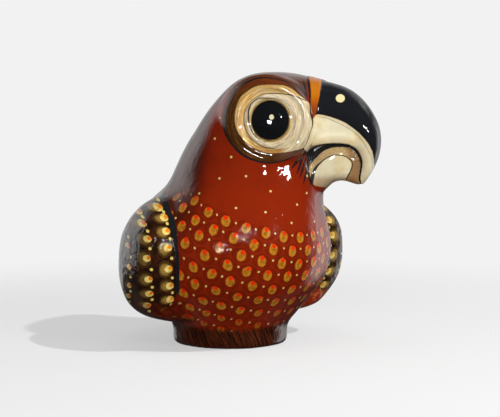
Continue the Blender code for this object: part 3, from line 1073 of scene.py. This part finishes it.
# %% Ground colour
RUST = colour(146, 40, 12)
RUST_DEEP = colour(104, 24, 9)
RUST_LIGHT = colour(168, 58, 22)
NAPE_BROWN = colour(54, 24, 14)
NAPE_STARTS = math.radians(50)
NAPE_FULL = math.radians(70)
x_place, y_place, z_place = parts(place)
paint = blend(RUST, RUST_DEEP, clouds(place, 16, 3, 0.55), 0.42, 0.75, 0.55)
paint = blend(paint, RUST_LIGHT, clouds(place, 90, 4, 0.6), 0.55, 0.8, 0.25)
azimuth = calc("ARCTAN2", x_place, times(y_place, -1.0))
towards_back = size_of(azimuth)
nape = times(ramp(towards_back, NAPE_STARTS, NAPE_FULL), ramp(z_place, 0.12, 0.17))
paint = over(paint, NAPE_BROWN, times(nape, 0.8))
print("nodes with the ground:", len(nodes))

# %% [markdown]
# ## Ovals on the breast
#
# Each feather is an ochre oval with a red tip inside a faint scale. The UV map says which column and
# row a point belongs to, and the stored slopes turn the place within that cell back into millimetres
# on the skin, so that the ovals stay upright and even where the rows tilt. A random number for each
# cell shifts and tilts its oval a little, as a hand does.

# %% Which feather, and where in it
ACROSS_CHANCE = 2.6
DOWN_CHANCE = 1.8


def from_middle(cells, step):
    """How far a point is from the middle of its cell, in millimetres, for cells of this step."""
    return times(minus(calc("FRACT", cells), 0.5), step)


def jittered(value, random_share, reach):
    """The value, moved by a random share of this reach."""
    return plus(value, times(minus(random_share, 0.5), reach))


breast = nodes.new("ShaderNodeUVMap")
breast.uv_map = "breast_rows"
column_place, row_place = parts(breast.outputs["UV"])[:2]
row_number = calc("FLOOR", row_place)
shifted = minus(column_place, times(calc("MODULO", row_number, 2.0), 0.5))
column_number = calc("FLOOR", shifted)
across_chance, down_chance, tilt_chance = chance(joined(column_number, row_number, 3.0))
across_mm = jittered(from_middle(shifted, COLUMN_WIDTH), across_chance, ACROSS_CHANCE)
down_mm = jittered(from_middle(row_place, ROW_DROP), down_chance, DOWN_CHANCE)
edge_noise = times(minus(clouds(place, 300, 2, 0.5), 0.5), 2.2)
print("nodes with the breast's cells:", len(nodes))

# %% Upright millimetres on the skin
TILT = 0.12
TILT_CHANCE = 0.7
SMALLER_BELOW = 1.3


def oval(across, down, wide, tall, offset_across=0.0, offset_down=0.0):
    """Distance outside an oval's edge, in about millimetres, negative inside."""
    dx = calc("DIVIDE", minus(across, offset_across), wide)
    dy = calc("DIVIDE", minus(down, offset_down), tall)
    length = calc("SQRT", plus(times(dx, dx), times(dy, dy)))
    return times(minus(length, 1.0), wide)


def combined(first, first_share, second, second_share):
    """The sum of two values, each times its share."""
    return plus(times(first, first_share), times(second, second_share))


round_a, round_b = parts(kept("to_round", "Vector"))[:2]
height_a, height_b = parts(kept("to_height", "Vector"))[:2]
oval_x = combined(across_mm, round_a, down_mm, round_b)
oval_z = calc("DIVIDE", combined(across_mm, height_a, down_mm, height_b), kept("facing_out"))
tilt = jittered(TILT, tilt_chance, TILT_CHANCE)
cosine, sine = calc("COSINE", tilt), calc("SINE", tilt)
smaller = ramp(z_place, 0.056, 0.030, 1.0, SMALLER_BELOW)
tilted_x = times(combined(oval_x, cosine, oval_z, sine), smaller)
tilted_z = times(minus(times(oval_z, cosine), times(oval_x, sine)), smaller)
print("nodes with the ovals' places:", len(nodes))

# %% Paint the scales, the ovals and their red tips
LAST_ROW = 9.0
SCALE_WIDE, SCALE_TALL = 9.6, 7.7
OVAL_WIDE, OVAL_TALL = 5.2, 6.5
HEART_WIDE, HEART_TALL = 2.4, 2.8
TIP_WIDE, TIP_TALL = 2.75, 2.9
OCHRE = colour(206, 138, 36)
OCHRE_WORN = colour(130, 78, 22)
OCHRE_HEART = colour(104, 76, 24)
OCHRE_LOW = colour(150, 56, 18)
TIP_RED = colour(244, 46, 12)
TIP_RED_LOW = colour(200, 28, 8)
in_rows = times(calc("GREATER_THAN", row_place, 0.0), calc("LESS_THAN", row_place, LAST_ROW))
in_rows = times(in_rows, ramp(z_place, 0.196, 0.172))
scale_edge = oval(across_mm, down_mm, SCALE_WIDE, SCALE_TALL, 0.0, 0.2)
scale_line = times(ramp(size_of(scale_edge), 0.75, 0.2), in_rows)
inside_scale = times(ramp(scale_edge, 0.4, -1.5), in_rows)
paint = over(paint, colour(116, 24, 8), times(inside_scale, 0.35))
paint = over(paint, colour(60, 14, 6), times(scale_line, 0.5))
oval_edge = plus(oval(tilted_x, tilted_z, OVAL_WIDE, OVAL_TALL, 0.0, -0.7), edge_noise)
oval_edge = plus(oval_edge, times(tilted_z, -0.07))
ovals = times(ramp(oval_edge, 0.5, -0.3), in_rows)
ochre = blend(OCHRE, OCHRE_WORN, clouds(place, 230, 3, 0.6), 0.45, 0.72, 0.8)
heart = oval(tilted_x, tilted_z, HEART_WIDE, HEART_TALL, 0.2, -0.6)
ochre = blend(ochre, OCHRE_HEART, heart, 0.6, -1.6, 0.42)
ochre = blend(ochre, OCHRE_LOW, z_place, 0.056, 0.034, 0.55)
paint = over(paint, ochre, times(ovals, 0.94))
tip_edge = plus(oval(tilted_x, tilted_z, TIP_WIDE, TIP_TALL, -0.7, 3.9), times(edge_noise, 0.5))
tip = times(ramp(tip_edge, 0.4, -0.4), times(in_rows, 0.95))
paint = over(paint, blend(TIP_RED, TIP_RED_LOW, z_place, 0.056, 0.034), tip)
print("nodes with the breast:", len(nodes))

# %% Small dots between the ovals, and on the neck
BREAST_DOT = 1.15
NECK_DOT, NECK_DOT_SOFT = 1.7, 1.1
DOT_REACH = 5.0
DOT_YELLOW = colour(238, 212, 130)


def short_of_half(cells):
    """Minus the distance from a point to the nearest border of its cell, in cells."""
    return minus(size_of(minus(calc("FRACT", cells), 0.5)), 0.5)


dot_across = times(short_of_half(shifted), COLUMN_WIDTH)
dot_down = plus(from_middle(row_place, ROW_DROP), 2.2)
dot_edge = oval(dot_across, dot_down, BREAST_DOT, BREAST_DOT)
paint = over(paint, DOT_YELLOW, times(ramp(dot_edge, 0.35, -0.35), in_rows))
dot_x, dot_y, dot_z = parts(kept("dot_place", "Vector"))
from_dot = calc("SQRT", plus(combined(dot_x, dot_x, dot_y, dot_y), times(dot_z, dot_z)))
near_dot = calc("LESS_THAN", kept("dot_distance"), DOT_REACH)
paint = over(paint, DOT_YELLOW, times(ramp(from_dot, NECK_DOT, NECK_DOT_SOFT), near_dot))
print("nodes with the dots:", len(nodes))

# %% [markdown]
# ## Foot and the underside of the wings
#
# The foot is almost black, wiped with slanting strokes of brown, and the brown climbs a little up the
# body in front. Below each wing the maker brushed red; it is painted bright on the far side, as painted
# light, and dark on the near side, as painted shade. Both are long noises: the vector is stretched along
# the stroke before the noise reads it.

# %% Foot
FOOT_DARK = colour(40, 18, 11)
FOOT_BROWN = colour(88, 40, 21)
STROKES_ROUND, STROKES_SLANT, STROKES_LENGTH = 22.0, 150.0, 16.0
CLIMB = 0.012
CLIMBS_TOWARDS = math.radians(-30)
foot_angle = calc("ARCTAN2", x_place, y_place)
slant = joined(minus(times(foot_angle, STROKES_ROUND), times(z_place, STROKES_SLANT)),
               times(z_place, STROKES_LENGTH), 0.0)
foot_paint = blend(FOOT_DARK, FOOT_BROWN, clouds(slant, 2.2, 3, 0.6), 0.42, 0.60)
foot_top = plus(z_place, times(minus(clouds(slant, 3.0, 2, 0.5), 0.5), 0.016))
climb = times(calc("COSINE", minus(azimuth, CLIMBS_TOWARDS)), CLIMB)
paint = over(paint, foot_paint, ramp(plus(foot_top, climb), 0.040, 0.032))
print("nodes with the foot:", len(nodes))

# %% Under the wings
# The red under the far wing is painted bright, as if lit, and under the near wing dark, as if shaded:
# painted light and painted shade over the red.
FAR_RED_LIT, FAR_PINK_LIT = colour(150, 46, 22), colour(236, 124, 70)
NEAR_RED_SHADED, NEAR_BROWN_SHADED = colour(66, 18, 10), colour(92, 30, 16)
streaked = clouds(joined(times(foot_angle, 7.0), times(z_place, 26.0), 5.0), 3.0, 3, 0.6)
far_under_lit = blend(FAR_RED_LIT, FAR_PINK_LIT, streaked, 0.46, 0.62)
near_under_shaded = blend(NEAR_RED_SHADED, NEAR_BROWN_SHADED, streaked, 0.45, 0.6)
under_paint_lit_and_shaded = over(near_under_shaded, far_under_lit, calc("GREATER_THAN", x_place, 0.0))
under_wing = times(ramp(towards_back, math.radians(62), math.radians(74)), ramp(z_place, 0.070, 0.058))
under_wing = times(under_wing, ramp(z_place, 0.026, 0.034))
paint = over(paint, under_paint_lit_and_shaded, times(under_wing, 0.9))
print("nodes with the underside of the wings:", len(nodes))

# %% [markdown]
# ## Wings
#
# On the near-black wing each feather is a bright spot with an orange tip inside a halo of yellow-brown
# brush strokes. The halo's distance, put through a sine, draws the fine rings of those strokes. Spots
# and halos shrink and fade towards the rear. A thick black line closes the wing in front.

# %% Which wing feather, and where in it
wing_across, wing_down, wing_step = parts(kept("wing_rows", "Vector"))
wing_column = calc("FLOOR", wing_across)
wing_shifted = minus(wing_down, times(calc("MODULO", wing_column, 2.0), 0.5))
wing_number = calc("FLOOR", wing_shifted)
back_chance, drop_chance = chance(joined(wing_column, wing_number, 7.0))[:2]
shrink = ramp(wing_column, -0.5, 3.5, 1.0, 0.62)
back_mm = calc("DIVIDE", jittered(from_middle(wing_across, WING_COLUMN), back_chance, 3.0), shrink)
drop_mm = calc("DIVIDE", jittered(from_middle(wing_shifted, wing_step), drop_chance, 2.0), shrink)
low_on_wing = ramp(z_place, 0.068, 0.050)
strong = times(ramp(wing_column, -0.5, 2.2, 1.0, 0.25), ramp(low_on_wing, 0.0, 1.0, 1.0, 0.25))
print("nodes with the wings' cells:", len(nodes))

# %% Ground and halos of the wings
WING_DARK, WING_BROWN = colour(36, 20, 12), colour(72, 36, 16)
HALO_WIDE, HALO_TALL = 10.6, 0.47
HALO_BROWN, HALO_YELLOW = colour(74, 48, 20), colour(178, 142, 68)
HALO_STROKE, HALO_OUTLINE = colour(60, 38, 16), colour(20, 12, 8)
wing_paint = blend(WING_DARK, WING_BROWN, clouds(place, 60, 3, 0.6), 0.4, 0.7)
# Low on the wing the same red shows, bright on the far side and dark on the near: painted light and painted
# shade.
wing_paint = over(wing_paint, under_paint_lit_and_shaded, times(low_on_wing, 0.85))
halo_tall = times(calc("DIVIDE", wing_step, shrink), HALO_TALL)
halo = plus(oval(back_mm, drop_mm, HALO_WIDE, halo_tall, 3.6, 0.6), times(edge_noise, 1.3))
strokes_in_halo = calc("SINE", plus(times(halo, 2.6), times(clouds(place, 380, 3, 0.6), 7.0)))
rings = plus(0.5, times(strokes_in_halo, 0.5))
halo_colour = blend(HALO_BROWN, HALO_YELLOW, halo, -1.8, -6.5)
halo_colour = over(halo_colour, HALO_STROKE, times(rings, 0.5))
wing_paint = over(wing_paint, halo_colour, times(ramp(halo, 0.3, -0.6), strong))
halo_edge = times(ramp(size_of(minus(halo, 0.6)), 0.7, 0.2), strong)
wing_paint = over(wing_paint, HALO_OUTLINE, times(halo_edge, 0.8))
print("nodes with the halos:", len(nodes))

# %% Spots, tips and dots of the wings
SPOT_WIDE, SPOT_TALL = 5.0, 4.3
SPOT_TIP, WING_DOT = 2.4, 1.75
SPOT_YELLOW, SPOT_WORN = colour(246, 222, 128), colour(206, 164, 66)
SPOT_LOW = colour(198, 122, 56)
SPOT_ORANGE, SPOT_RED = colour(238, 140, 20), colour(224, 84, 20)
WING_DOT_YELLOW = colour(240, 214, 116)
spot = plus(oval(back_mm, drop_mm, SPOT_WIDE, SPOT_TALL, -0.6, 0.0), times(edge_noise, 0.6))
spot_colour = blend(SPOT_YELLOW, SPOT_WORN, clouds(place, 260, 2, 0.5), 0.45, 0.7)
spot_colour = over(spot_colour, SPOT_LOW, times(low_on_wing, 0.8))
wing_paint = over(wing_paint, spot_colour, ramp(spot, 0.4, -0.4))
spot_tip = oval(back_mm, drop_mm, SPOT_TIP, SPOT_TIP, -3.0, -0.9)
tip_colour = blend(SPOT_ORANGE, SPOT_RED, wing_column, 0.2, 1.6)
wing_paint = over(wing_paint, tip_colour, ramp(spot_tip, 0.5, -0.5))
wing_dot = oval(plus(from_middle(wing_across, WING_COLUMN), 3.6),
                times(short_of_half(wing_shifted), wing_step), WING_DOT, WING_DOT)
wing_paint = over(wing_paint, WING_DOT_YELLOW, ramp(wing_dot, 0.35, -0.35))
paint = over(paint, wing_paint, ramp(plus(kept("wing_area"), wobble), 0.6, -0.6))
print("nodes with the wings' spots:", len(nodes))

# %% The black line in front of the wing
BLACK = colour(30, 31, 34)
line_half = plus(ramp(z_place, 0.050, 0.080, 0.3, 1.7), ramp(z_place, 0.135, 0.155, 0.0, 0.9))
line_edge = minus(size_of(minus(kept("behind_edge"), 0.5)), line_half)
wing_line = times(ramp(line_edge, 0.6, -0.4), ramp(z_place, 0.062, 0.076))
paint = over(paint, BLACK, wing_line)
print("nodes with the wing's line:", len(nodes))

# %% [markdown]
# ## Crown and eye
#
# A brown crescent holds the golden ring, which pales towards the beak, and the pupil is black with one
# painted spark. All of it is brushed round and round, so the noise reads the angle round the pupil and
# the distance from it in place of the plain position: its streaks then run along the ring.

# %% Crown and the brown crescent round the eye
CROWN_BROWN = colour(92, 54, 32)
CRESCENT_DARK, CRESCENT_BROWN = colour(72, 40, 14), colour(112, 72, 34)
CRESCENT_TOP, CRESCENT_FOOT_SHEEN = colour(120, 48, 22), colour(122, 84, 64)
STREAK_TURN, STREAK_REACH = 1.6, 0.55
crown = ramp(plus(z_place, times(wobble, 0.01)), 0.296, 0.316)
paint = over(paint, CROWN_BROWN, times(crown, 0.85))
on_eye_x, on_eye_y = parts(kept("on_eye", "Vector"))[:2]
turn_round = calc("ARCTAN2", on_eye_y, on_eye_x)
from_pupil = kept("from_pupil")
ring_streaks = clouds(joined(times(calc("COSINE", turn_round), STREAK_TURN),
                             times(calc("SINE", turn_round), STREAK_TURN),
                             times(from_pupil, STREAK_REACH)), 1.5, 4, 0.65)
crescent = blend(CRESCENT_DARK, CRESCENT_BROWN, ring_streaks, 0.42, 0.62)
crescent = blend(crescent, CRESCENT_TOP, on_eye_y, -18, -38, 0.6)
# A paler, greyer brown at the crescent's lower right, where the lacquer shines: painted sheen over the
# brown.
crescent = over(crescent, CRESCENT_FOOT_SHEEN, times(ramp(on_eye_x, 0, 20), ramp(on_eye_y, 22, 34)))
paint = over(paint, crescent, inside("brow_area"))
print("nodes with the crescent:", len(nodes))

# %% Golden and pale rings
GOLD, GOLD_STREAK = colour(246, 210, 136), colour(200, 144, 62)
GOLD_BELOW, GOLD_ABOVE = colour(166, 114, 52), colour(186, 142, 74)
PALE, PALE_STREAK = colour(236, 220, 180), colour(196, 168, 124)
golden = blend(GOLD, GOLD_STREAK, ring_streaks, 0.42, 0.62, 0.95)
golden = blend(golden, GOLD_BELOW, on_eye_y, 22, 31, 0.62)
golden = blend(golden, GOLD_ABOVE, on_eye_y, -24, -32, 0.5)
pale = blend(PALE, PALE_STREAK, ring_streaks, 0.44, 0.66)
paleness = times(ramp(on_eye_x, 6, 22), ramp(on_eye_y, -30, -18))
paint = over(paint, over(golden, pale, paleness), inside("ring_area"))
paint = over(paint, pale, times(inside("inner_area"), ramp(on_eye_x, -40, -10, 0.55, 1.0)))
print("nodes with the rings:", len(nodes))

# %% Pupil and its spark
LASH, LASH_STREAK = colour(222, 190, 120), colour(170, 136, 84)
PUPIL_EDGE, PUPIL_BLACK = colour(40, 24, 14), colour(22, 23, 24)
SPARK = colour(250, 240, 200)
lashes = blend(LASH, LASH_STREAK, ring_streaks, 0.4, 0.65)
paint = over(paint, lashes, ramp(from_pupil, 22.3, 21.6))
paint = over(paint, PUPIL_EDGE, times(ramp(size_of(minus(from_pupil, 19.6)), 0.6, 0.2), 0.8))
paint = over(paint, PUPIL_BLACK, ramp(from_pupil, PUPIL_REACH, 18.8))
spark = oval(on_eye_x, on_eye_y, 2.3, 2.5, 1.2, -3.1)
paint = over(paint, SPARK, times(ramp(spark, 0.35, -0.35), calc("LESS_THAN", from_pupil, 15.0)))
print("nodes with the pupil:", len(nodes))

# %% [markdown]
# ## Beak
#
# The cream of the beak is warmer and browner near its edges and towards the mouth. In the recess under
# the lip it turns tan and is painted darker towards the right, where the lip overhangs it, and the lower
# beak is painted brown along its underside: both are painted shade. The areas were measured on the skin
# above, so here they only choose the colour.

# %% Cream of the beak
CREAM, CREAM_WARM = colour(255, 244, 206), colour(242, 218, 162)
CREAM_EDGE, CREAM_AT_MOUTH = colour(210, 166, 110), colour(214, 176, 120)
TAN, TAN_STREAK, TAN_SHADE_UNDER_LIP = colour(220, 190, 138), colour(182, 142, 92), colour(140, 92, 48)
SHADE_UNDER_BEAK_BROWN = colour(160, 112, 62)
cream = blend(CREAM, CREAM_WARM, clouds(place, 45, 4, 0.6), 0.45, 0.75)
cream = blend(cream, CREAM_EDGE, kept("cream_beak"), -3.5, -0.5, 0.35)
cream = blend(cream, CREAM_AT_MOUTH, kept("mouth_black"), 9.0, 1.0, 0.35)
seen_x = plus(on_eye_x, PUPIL[0])
seen_y = plus(on_eye_y, PUPIL[1])
tan_streaks = clouds(joined(seen_x, seen_y), 0.55, 3, 0.6)
tan = blend(TAN, TAN_STREAK, tan_streaks, 0.45, 0.70)
# Darker towards the right, under the overhanging lip: painted shade.
tan = blend(tan, TAN_SHADE_UNDER_LIP, seen_x, 343, 353, 0.7)
cream = over(cream, tan, inside("mouth_recess"))
# Brown along the lower beak's underside: painted shade.
shade_under_beak = times(ramp(plus(seen_y, times(tan_streaks, 6.0)), 175, 184), ramp(seen_x, 362, 352))
cream = over(cream, SHADE_UNDER_BEAK_BROWN, times(shade_under_beak, 0.6))
paint = over(paint, cream, inside("cream_beak"))
print("nodes with the cream:", len(nodes))

# %% Orange band, black ridge and nostril
ORANGE, ORANGE_LOW = colour(204, 118, 22), colour(150, 62, 18)
NOSTRIL_CREAM = colour(244, 228, 170)
NOSTRIL = (340.2, 98.6)
paint = over(paint, blend(ORANGE, ORANGE_LOW, z_place, 0.31, 0.285), inside("orange_band"))
paint = over(paint, BLACK, inside("black_ridge"))
forward = minus(times(x_place, math.sin(HEAD_TURN)), times(y_place, math.cos(HEAD_TURN)))
nostril = plus(oval(seen_x, seen_y, 4.5, 4.0, *NOSTRIL), times(wobble, 0.6))
paint = over(paint, NOSTRIL_CREAM, times(ramp(nostril, 0.3, -0.3), calc("GREATER_THAN", forward, 0.08)))
print("nodes with the beak:", len(nodes))

# %% Black and brown lines, last of all
FINE_LINES = [
    ("cream_line", colour(70, 66, 50), 0.6),
    ("ring_line", colour(60, 34, 18), 0.8),
    ("lid_line", colour(34, 24, 18), 0.9),
    ("pupil_line", colour(26, 20, 16), 0.95),
    ("brow_line", BLACK, 0.95),
    ("face_lines", BLACK, 0.95),
]
paint = over(paint, BLACK, inside("mouth_black"))
for name, line_colour, strength in FINE_LINES:
    paint = over(paint, line_colour, stroke(name, strength))
paint = over(paint, BLACK, stroke("feather_strokes", 0.95, thick=True))
links.new(paint, shader.inputs["Base Color"])
print("nodes of the paint:", len(nodes))

# %% [markdown]
# ## Lacquer
#
# Over the paint lies a thick clear lacquer. The paint itself is dull, so the shader gets a rough base
# with no shine of its own and a full, nearly smooth clear coat. The lacquer shows how it was brushed:
# ripples on the breast, rounds on the eye rings and long strokes down the sides, all in one bump.

# %% Shine
LACQUER = {
    "Roughness": 0.6,
    "Specular IOR Level": 0.0,
    "Coat Weight": 1.0,
    "Coat Roughness": 0.045,
    "Coat IOR": 1.5,
}
for name, value in LACQUER.items():
    shader.inputs[name].default_value = value
print("lacquer:", LACQUER)

# %% Brushed ripples
RIPPLE_DEPTH = 0.0006
BREAST_TURNED = math.radians(13)
bump = nodes.new("ShaderNodeBump")
bump.inputs["Strength"].default_value = 0.5
bump.inputs["Distance"].default_value = RIPPLE_DEPTH
rippled = plus(1.0, ramp(z_place, 0.19, 0.16, 0.0, 1.5))
rippled = plus(rippled, ramp(kept("wing_area"), 2.0, -2.0, 0.0, 1.2))
fine = times(clouds(place, 380, 1.0, 0.4), ramp(z_place, 0.19, 0.16, 0.0, 0.9))
on_rings = times(ramp(from_pupil, 36.0, 33.0), ramp(from_pupil, 19.0, 20.5))
fine = plus(fine, times(ring_streaks, times(on_rings, 0.35)))
at_sides = ramp(size_of(plus(azimuth, BREAST_TURNED)), math.radians(32), math.radians(52))
at_sides = times(at_sides, ramp(z_place, 0.10, 0.13))
brushed_down = clouds(joined(x_place, y_place, times(z_place, 0.22)), 240, 2.0, 0.5)
fine = plus(fine, times(brushed_down, times(at_sides, 1.1)))
links.new(plus(times(clouds(place, 120, 1.4, 0.4), rippled), fine), bump.inputs["Height"])
links.new(bump.outputs["Normal"], shader.inputs["Coat Normal"])
links.new(bump.outputs["Normal"], shader.inputs["Normal"])
bird.data.materials.append(coat)
print("nodes of paint and lacquer:", len(nodes))

# %% [markdown]
# ## The floor
#
# The photograph is a catalogue picture on a white sweep that has no horizon. A wide disc stands for it.
# Near the bird it takes the shadow, and further out it turns into an even glow of the backdrop's own
# grey, so that floor and backdrop run into each other.

# %% Floor
BACKDROP_GREY = (0.887, 0.887, 0.887, 1)
PAPER_WHITE = (0.92, 0.92, 0.92, 1)
FLOOR_RADIUS = 6.0
GLOW_STARTS, GLOW_FULL, GLOW_LEAST = 0.35, 0.95, 0.52
bpy.ops.mesh.primitive_circle_add(vertices=96, radius=FLOOR_RADIUS, fill_type="NGON", location=(0, 0, 0))
floor = bpy.context.active_object
floor.name = "studio_floor"
floor.visible_glossy = False
floor.visible_diffuse = False

paper = bpy.data.materials.new("studio_paper")
paper.use_nodes = True
nodes, links = paper.node_tree.nodes, paper.node_tree.links
white = nodes["Principled BSDF"]
white.inputs["Base Color"].default_value = PAPER_WHITE
white.inputs["Roughness"].default_value = 0.9
white.inputs["Specular IOR Level"].default_value = 0.0
glow = nodes.new("ShaderNodeEmission")
glow.inputs["Color"].default_value = BACKDROP_GREY
from_bird = nodes.new("ShaderNodeVectorMath")
from_bird.operation = "LENGTH"
links.new(nodes.new("ShaderNodeTexCoord").outputs["Object"], from_bird.inputs[0])


def mixed_shaders(amount, first, second):
    """The first shader, with the second one in its place where the amount is 1."""
    node = nodes.new("ShaderNodeMixShader")
    for socket, value in zip(node.inputs, (amount, first, second)):
        links.new(value, socket)
    return node.outputs["Shader"]


glowing = ramp(from_bird.outputs["Value"], GLOW_STARTS, GLOW_FULL, GLOW_LEAST)
floor_shader = mixed_shaders(glowing, white.outputs["BSDF"], glow.outputs["Emission"])
links.new(floor_shader, nodes["Material Output"].inputs["Surface"])
floor.data.materials.append(paper)
print("floor radius, m:", FLOOR_RADIUS)

# %% [markdown]
# ## The walls that the lacquer mirrors
#
# The sides of the bird that turn away carry a pale veil, the mirror image of white walls to the left,
# the right and behind, while the breast mirrors the dark room at the camera's back. Real walls could
# stand there, but the world does it with less: its brightness is set for each bearing, and only
# mirrored rays see it. The camera sees an even backdrop, and the paint gets a weak light from the air.

# %% How bright the walls are at each bearing
WALL_LEVELS = [
    (-180, 0.90), (-165, 1.50), (-150, 1.60), (-143, 1.25), (-136, 0.50), (-126, 0.02), (60, 0.01),
    (68, 0.14), (75, 0.70), (81, 1.00), (88, 1.90), (98, 1.10), (118, 0.60), (135, 0.55), (155, 0.60),
    (180, 0.90),
]
BRIGHTEST = 2.0
world = bpy.data.worlds.new("white_studio")
bpy.context.scene.world = world
world.use_nodes = True
nodes, links = world.node_tree.nodes, world.node_tree.links
direction = nodes.new("ShaderNodeTexCoord").outputs["Generated"]
east, north, upward = parts(direction)
bearing_share = plus(calc("DIVIDE", calc("ARCTAN2", east, times(north, -1.0)), 2 * math.pi), 0.5)
walls = nodes.new("ShaderNodeValToRGB")
walls.color_ramp.interpolation = "LINEAR"
stops = walls.color_ramp.elements
stops[0].position, stops[1].position = 0.0, 1.0
for bearing, level in WALL_LEVELS[1:-1]:
    stops.new(bearing / 360 + 0.5)
for stop, (bearing, level) in zip(stops, WALL_LEVELS):
    stop.color = (level / BRIGHTEST, level / BRIGHTEST, level / BRIGHTEST, 1)
links.new(bearing_share, walls.inputs["Fac"])
wall = times(walls.outputs["Color"], BRIGHTEST)
print("bearings with a level:", len(stops))

# %% How high the walls reach
RIGHT_WALL, LEFT_WALL = math.radians(88), math.radians(-150)
DIMMEST, DIM_ABOVE = 0.05, 0.06


def facing(bearing, widest, narrowest):
    """1 for directions near this bearing and 0 away from it."""
    node = nodes.new("ShaderNodeVectorMath")
    node.operation = "DOT_PRODUCT"
    node.inputs[1].default_value = (math.sin(bearing), -math.cos(bearing), 0.0)
    links.new(direction, node.inputs[0])
    return ramp(node.outputs["Value"], widest, narrowest)


def instead(amount, usual, there):
    """The usual value, or the one there where the amount is 1."""
    node = nodes.new("ShaderNodeMix")
    node.data_type = "FLOAT"
    for socket, value in zip((node.inputs[0], node.inputs[2], node.inputs[3]), (amount, usual, there)):
        links.new(value, socket)
    return node.outputs[0]


to_the_right = facing(RIGHT_WALL, 0.80, 0.93)
to_the_left = facing(LEFT_WALL, 0.80, 0.95)
foot_of_wall = instead(to_the_right, ramp(upward, -0.30, -0.12, DIMMEST),
                       ramp(upward, -0.62, -0.45, DIMMEST))
foot_of_wall = instead(to_the_left, foot_of_wall, ramp(upward, -0.17, -0.03, DIMMEST))
top_of_wall = instead(to_the_right, ramp(upward, 0.45, 0.85, 1.0, DIM_ABOVE),
                      ramp(upward, 0.08, 0.42, 1.0, DIM_ABOVE))
wall = times(wall, times(foot_of_wall, top_of_wall))
print("nodes of the walls:", len(nodes))

# %% Who sees what of the studio
AIR_BELOW, AIR_ABOVE = 0.07, 0.24
mirrored = nodes.new("ShaderNodeBackground")
links.new(wall, mirrored.inputs["Color"])
air = nodes.new("ShaderNodeBackground")
links.new(ramp(upward, -0.3, 0.2, AIR_BELOW, AIR_ABOVE), air.inputs["Color"])
backdrop = nodes["Background"]
backdrop.inputs["Color"].default_value = BACKDROP_GREY
path = nodes.new("ShaderNodeLightPath").outputs
studio = mixed_shaders(path["Is Glossy Ray"], air.outputs["Background"], mirrored.outputs["Background"])
studio = mixed_shaders(path["Is Camera Ray"], studio, backdrop.outputs["Background"])
links.new(studio, nodes["World Output"].inputs["Surface"])
print("nodes of the studio:", len(nodes))

# %% [markdown]
# ## The lights
#
# Window panes in front show as small bright patches in the lacquer, and large soft boxes light the
# paint. The two jobs are kept apart, because the panes are far too small and bright to light the bird
# evenly. One more small lamp makes the soft-edged shadow on the floor and lights nothing else.

# %% A soft box
AIM = Vector((0, 0, 0.17))


def softbox(name, bearing, rise, distance, width, height, power, in_lacquer=True):
    """A rectangular light aimed at the bird from a direction given in degrees.

    One in the lacquer shows only there, as a bright patch, and the others light only the paint."""
    bearing, rise = math.radians(bearing), math.radians(rise)
    toward_light = Vector((
        math.sin(bearing) * math.cos(rise),
        -math.cos(bearing) * math.cos(rise),
        math.sin(rise),
    ))
    bpy.ops.object.light_add(
        type="AREA",
        location=AIM + toward_light * distance,
        rotation=toward_light.to_track_quat("Z", "Y").to_euler(),
    )
    light = bpy.context.active_object
    light.name = name
    light.data.shape = "RECTANGLE"
    light.data.size = width
    light.data.size_y = height
    light.data.energy = power
    light.visible_glossy = in_lacquer
    light.visible_diffuse = not in_lacquer
    return light


print("the lights aim at, m:", tuple(AIM))

# %% Set the lights up
def light_only(light, piece, name):
    """Lets the light reach this piece and nothing else."""
    receivers = bpy.data.collections.new(name)
    receivers.objects.link(piece)
    light.light_linking.receiver_collection = receivers


softbox("left_pane", 8, 12, 2.2, 0.28, 0.15, 9)
softbox("right_pane", 18, 12, 2.2, 0.30, 0.15, 9)
softbox("front_fill", 13, 12, 2.2, 0.60, 0.30, 10, in_lacquer=False)
softbox("small_pane", -20, 17, 2.2, 0.08, 0.10, 3)
softbox("camera_pane", -45, 3, 2.3, 0.17, 0.16, 30)
softbox("front_sheet", -38, 3, 2.4, 1.0, 0.8, 29, in_lacquer=False)
soft_key = softbox("soft_key", 40, 45, 2.6, 1.1, 1.1, 32, in_lacquer=False)
softbox("top_light", -30, 80, 2.2, 0.8, 0.8, 4, in_lacquer=False)
shadow_maker = softbox("shadow_maker", 24, 48, 2.6, 0.06, 0.06, 42, in_lacquer=False)
light_only(soft_key, bird, "lit_by_the_soft_key")
light_only(shadow_maker, floor, "lit_by_the_shadow_maker")
bpy.context.scene.view_settings.view_transform = "Standard"
print("lights:", len(bpy.data.lights))

# %% [markdown]
# ## Cards before the breast
#
# In the photograph the panes shine on the head and not on the breast. A photographer gets that with a
# black card, set low in front of the lens so that only the breast mirrors it. These cards are seen by
# mirrored rays alone: they cast no shadow and don't show in the picture.

# %% Black cards
CARD_FOOT = 0.04
card_black = bpy.data.materials.new("card_black")
card_black.use_nodes = True
card_shader = card_black.node_tree.nodes["Principled BSDF"]
card_shader.inputs["Base Color"].default_value = (0.005, 0.005, 0.005, 1)
card_shader.inputs["Specular IOR Level"].default_value = 0.0


def black_card(name, bearing, distance, width, top):
    """A black card that stands before the bird and hides the panes from its breast."""
    bearing = math.radians(bearing)
    bpy.ops.mesh.primitive_plane_add(
        size=1,
        location=(distance * math.sin(bearing), -distance * math.cos(bearing), (CARD_FOOT + top) / 2),
        rotation=(math.pi / 2, 0, bearing),
    )
    card = bpy.context.active_object
    card.name = name
    card.scale = (width, top - CARD_FOOT, 1)
    bpy.ops.object.transform_apply(location=False, rotation=False, scale=True)
    card.visible_camera = False
    card.visible_diffuse = False
    card.visible_shadow = False
    card.data.materials.append(card_black)


black_card("card_before_panes", 6, 0.353, 0.20, 0.222)
black_card("card_before_camera_pane", -45, 0.45, 0.24, 0.215)
print("cards: 2")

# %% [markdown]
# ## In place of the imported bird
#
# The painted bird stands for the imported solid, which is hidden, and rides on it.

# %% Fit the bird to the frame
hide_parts("bird")
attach(bird, "root")
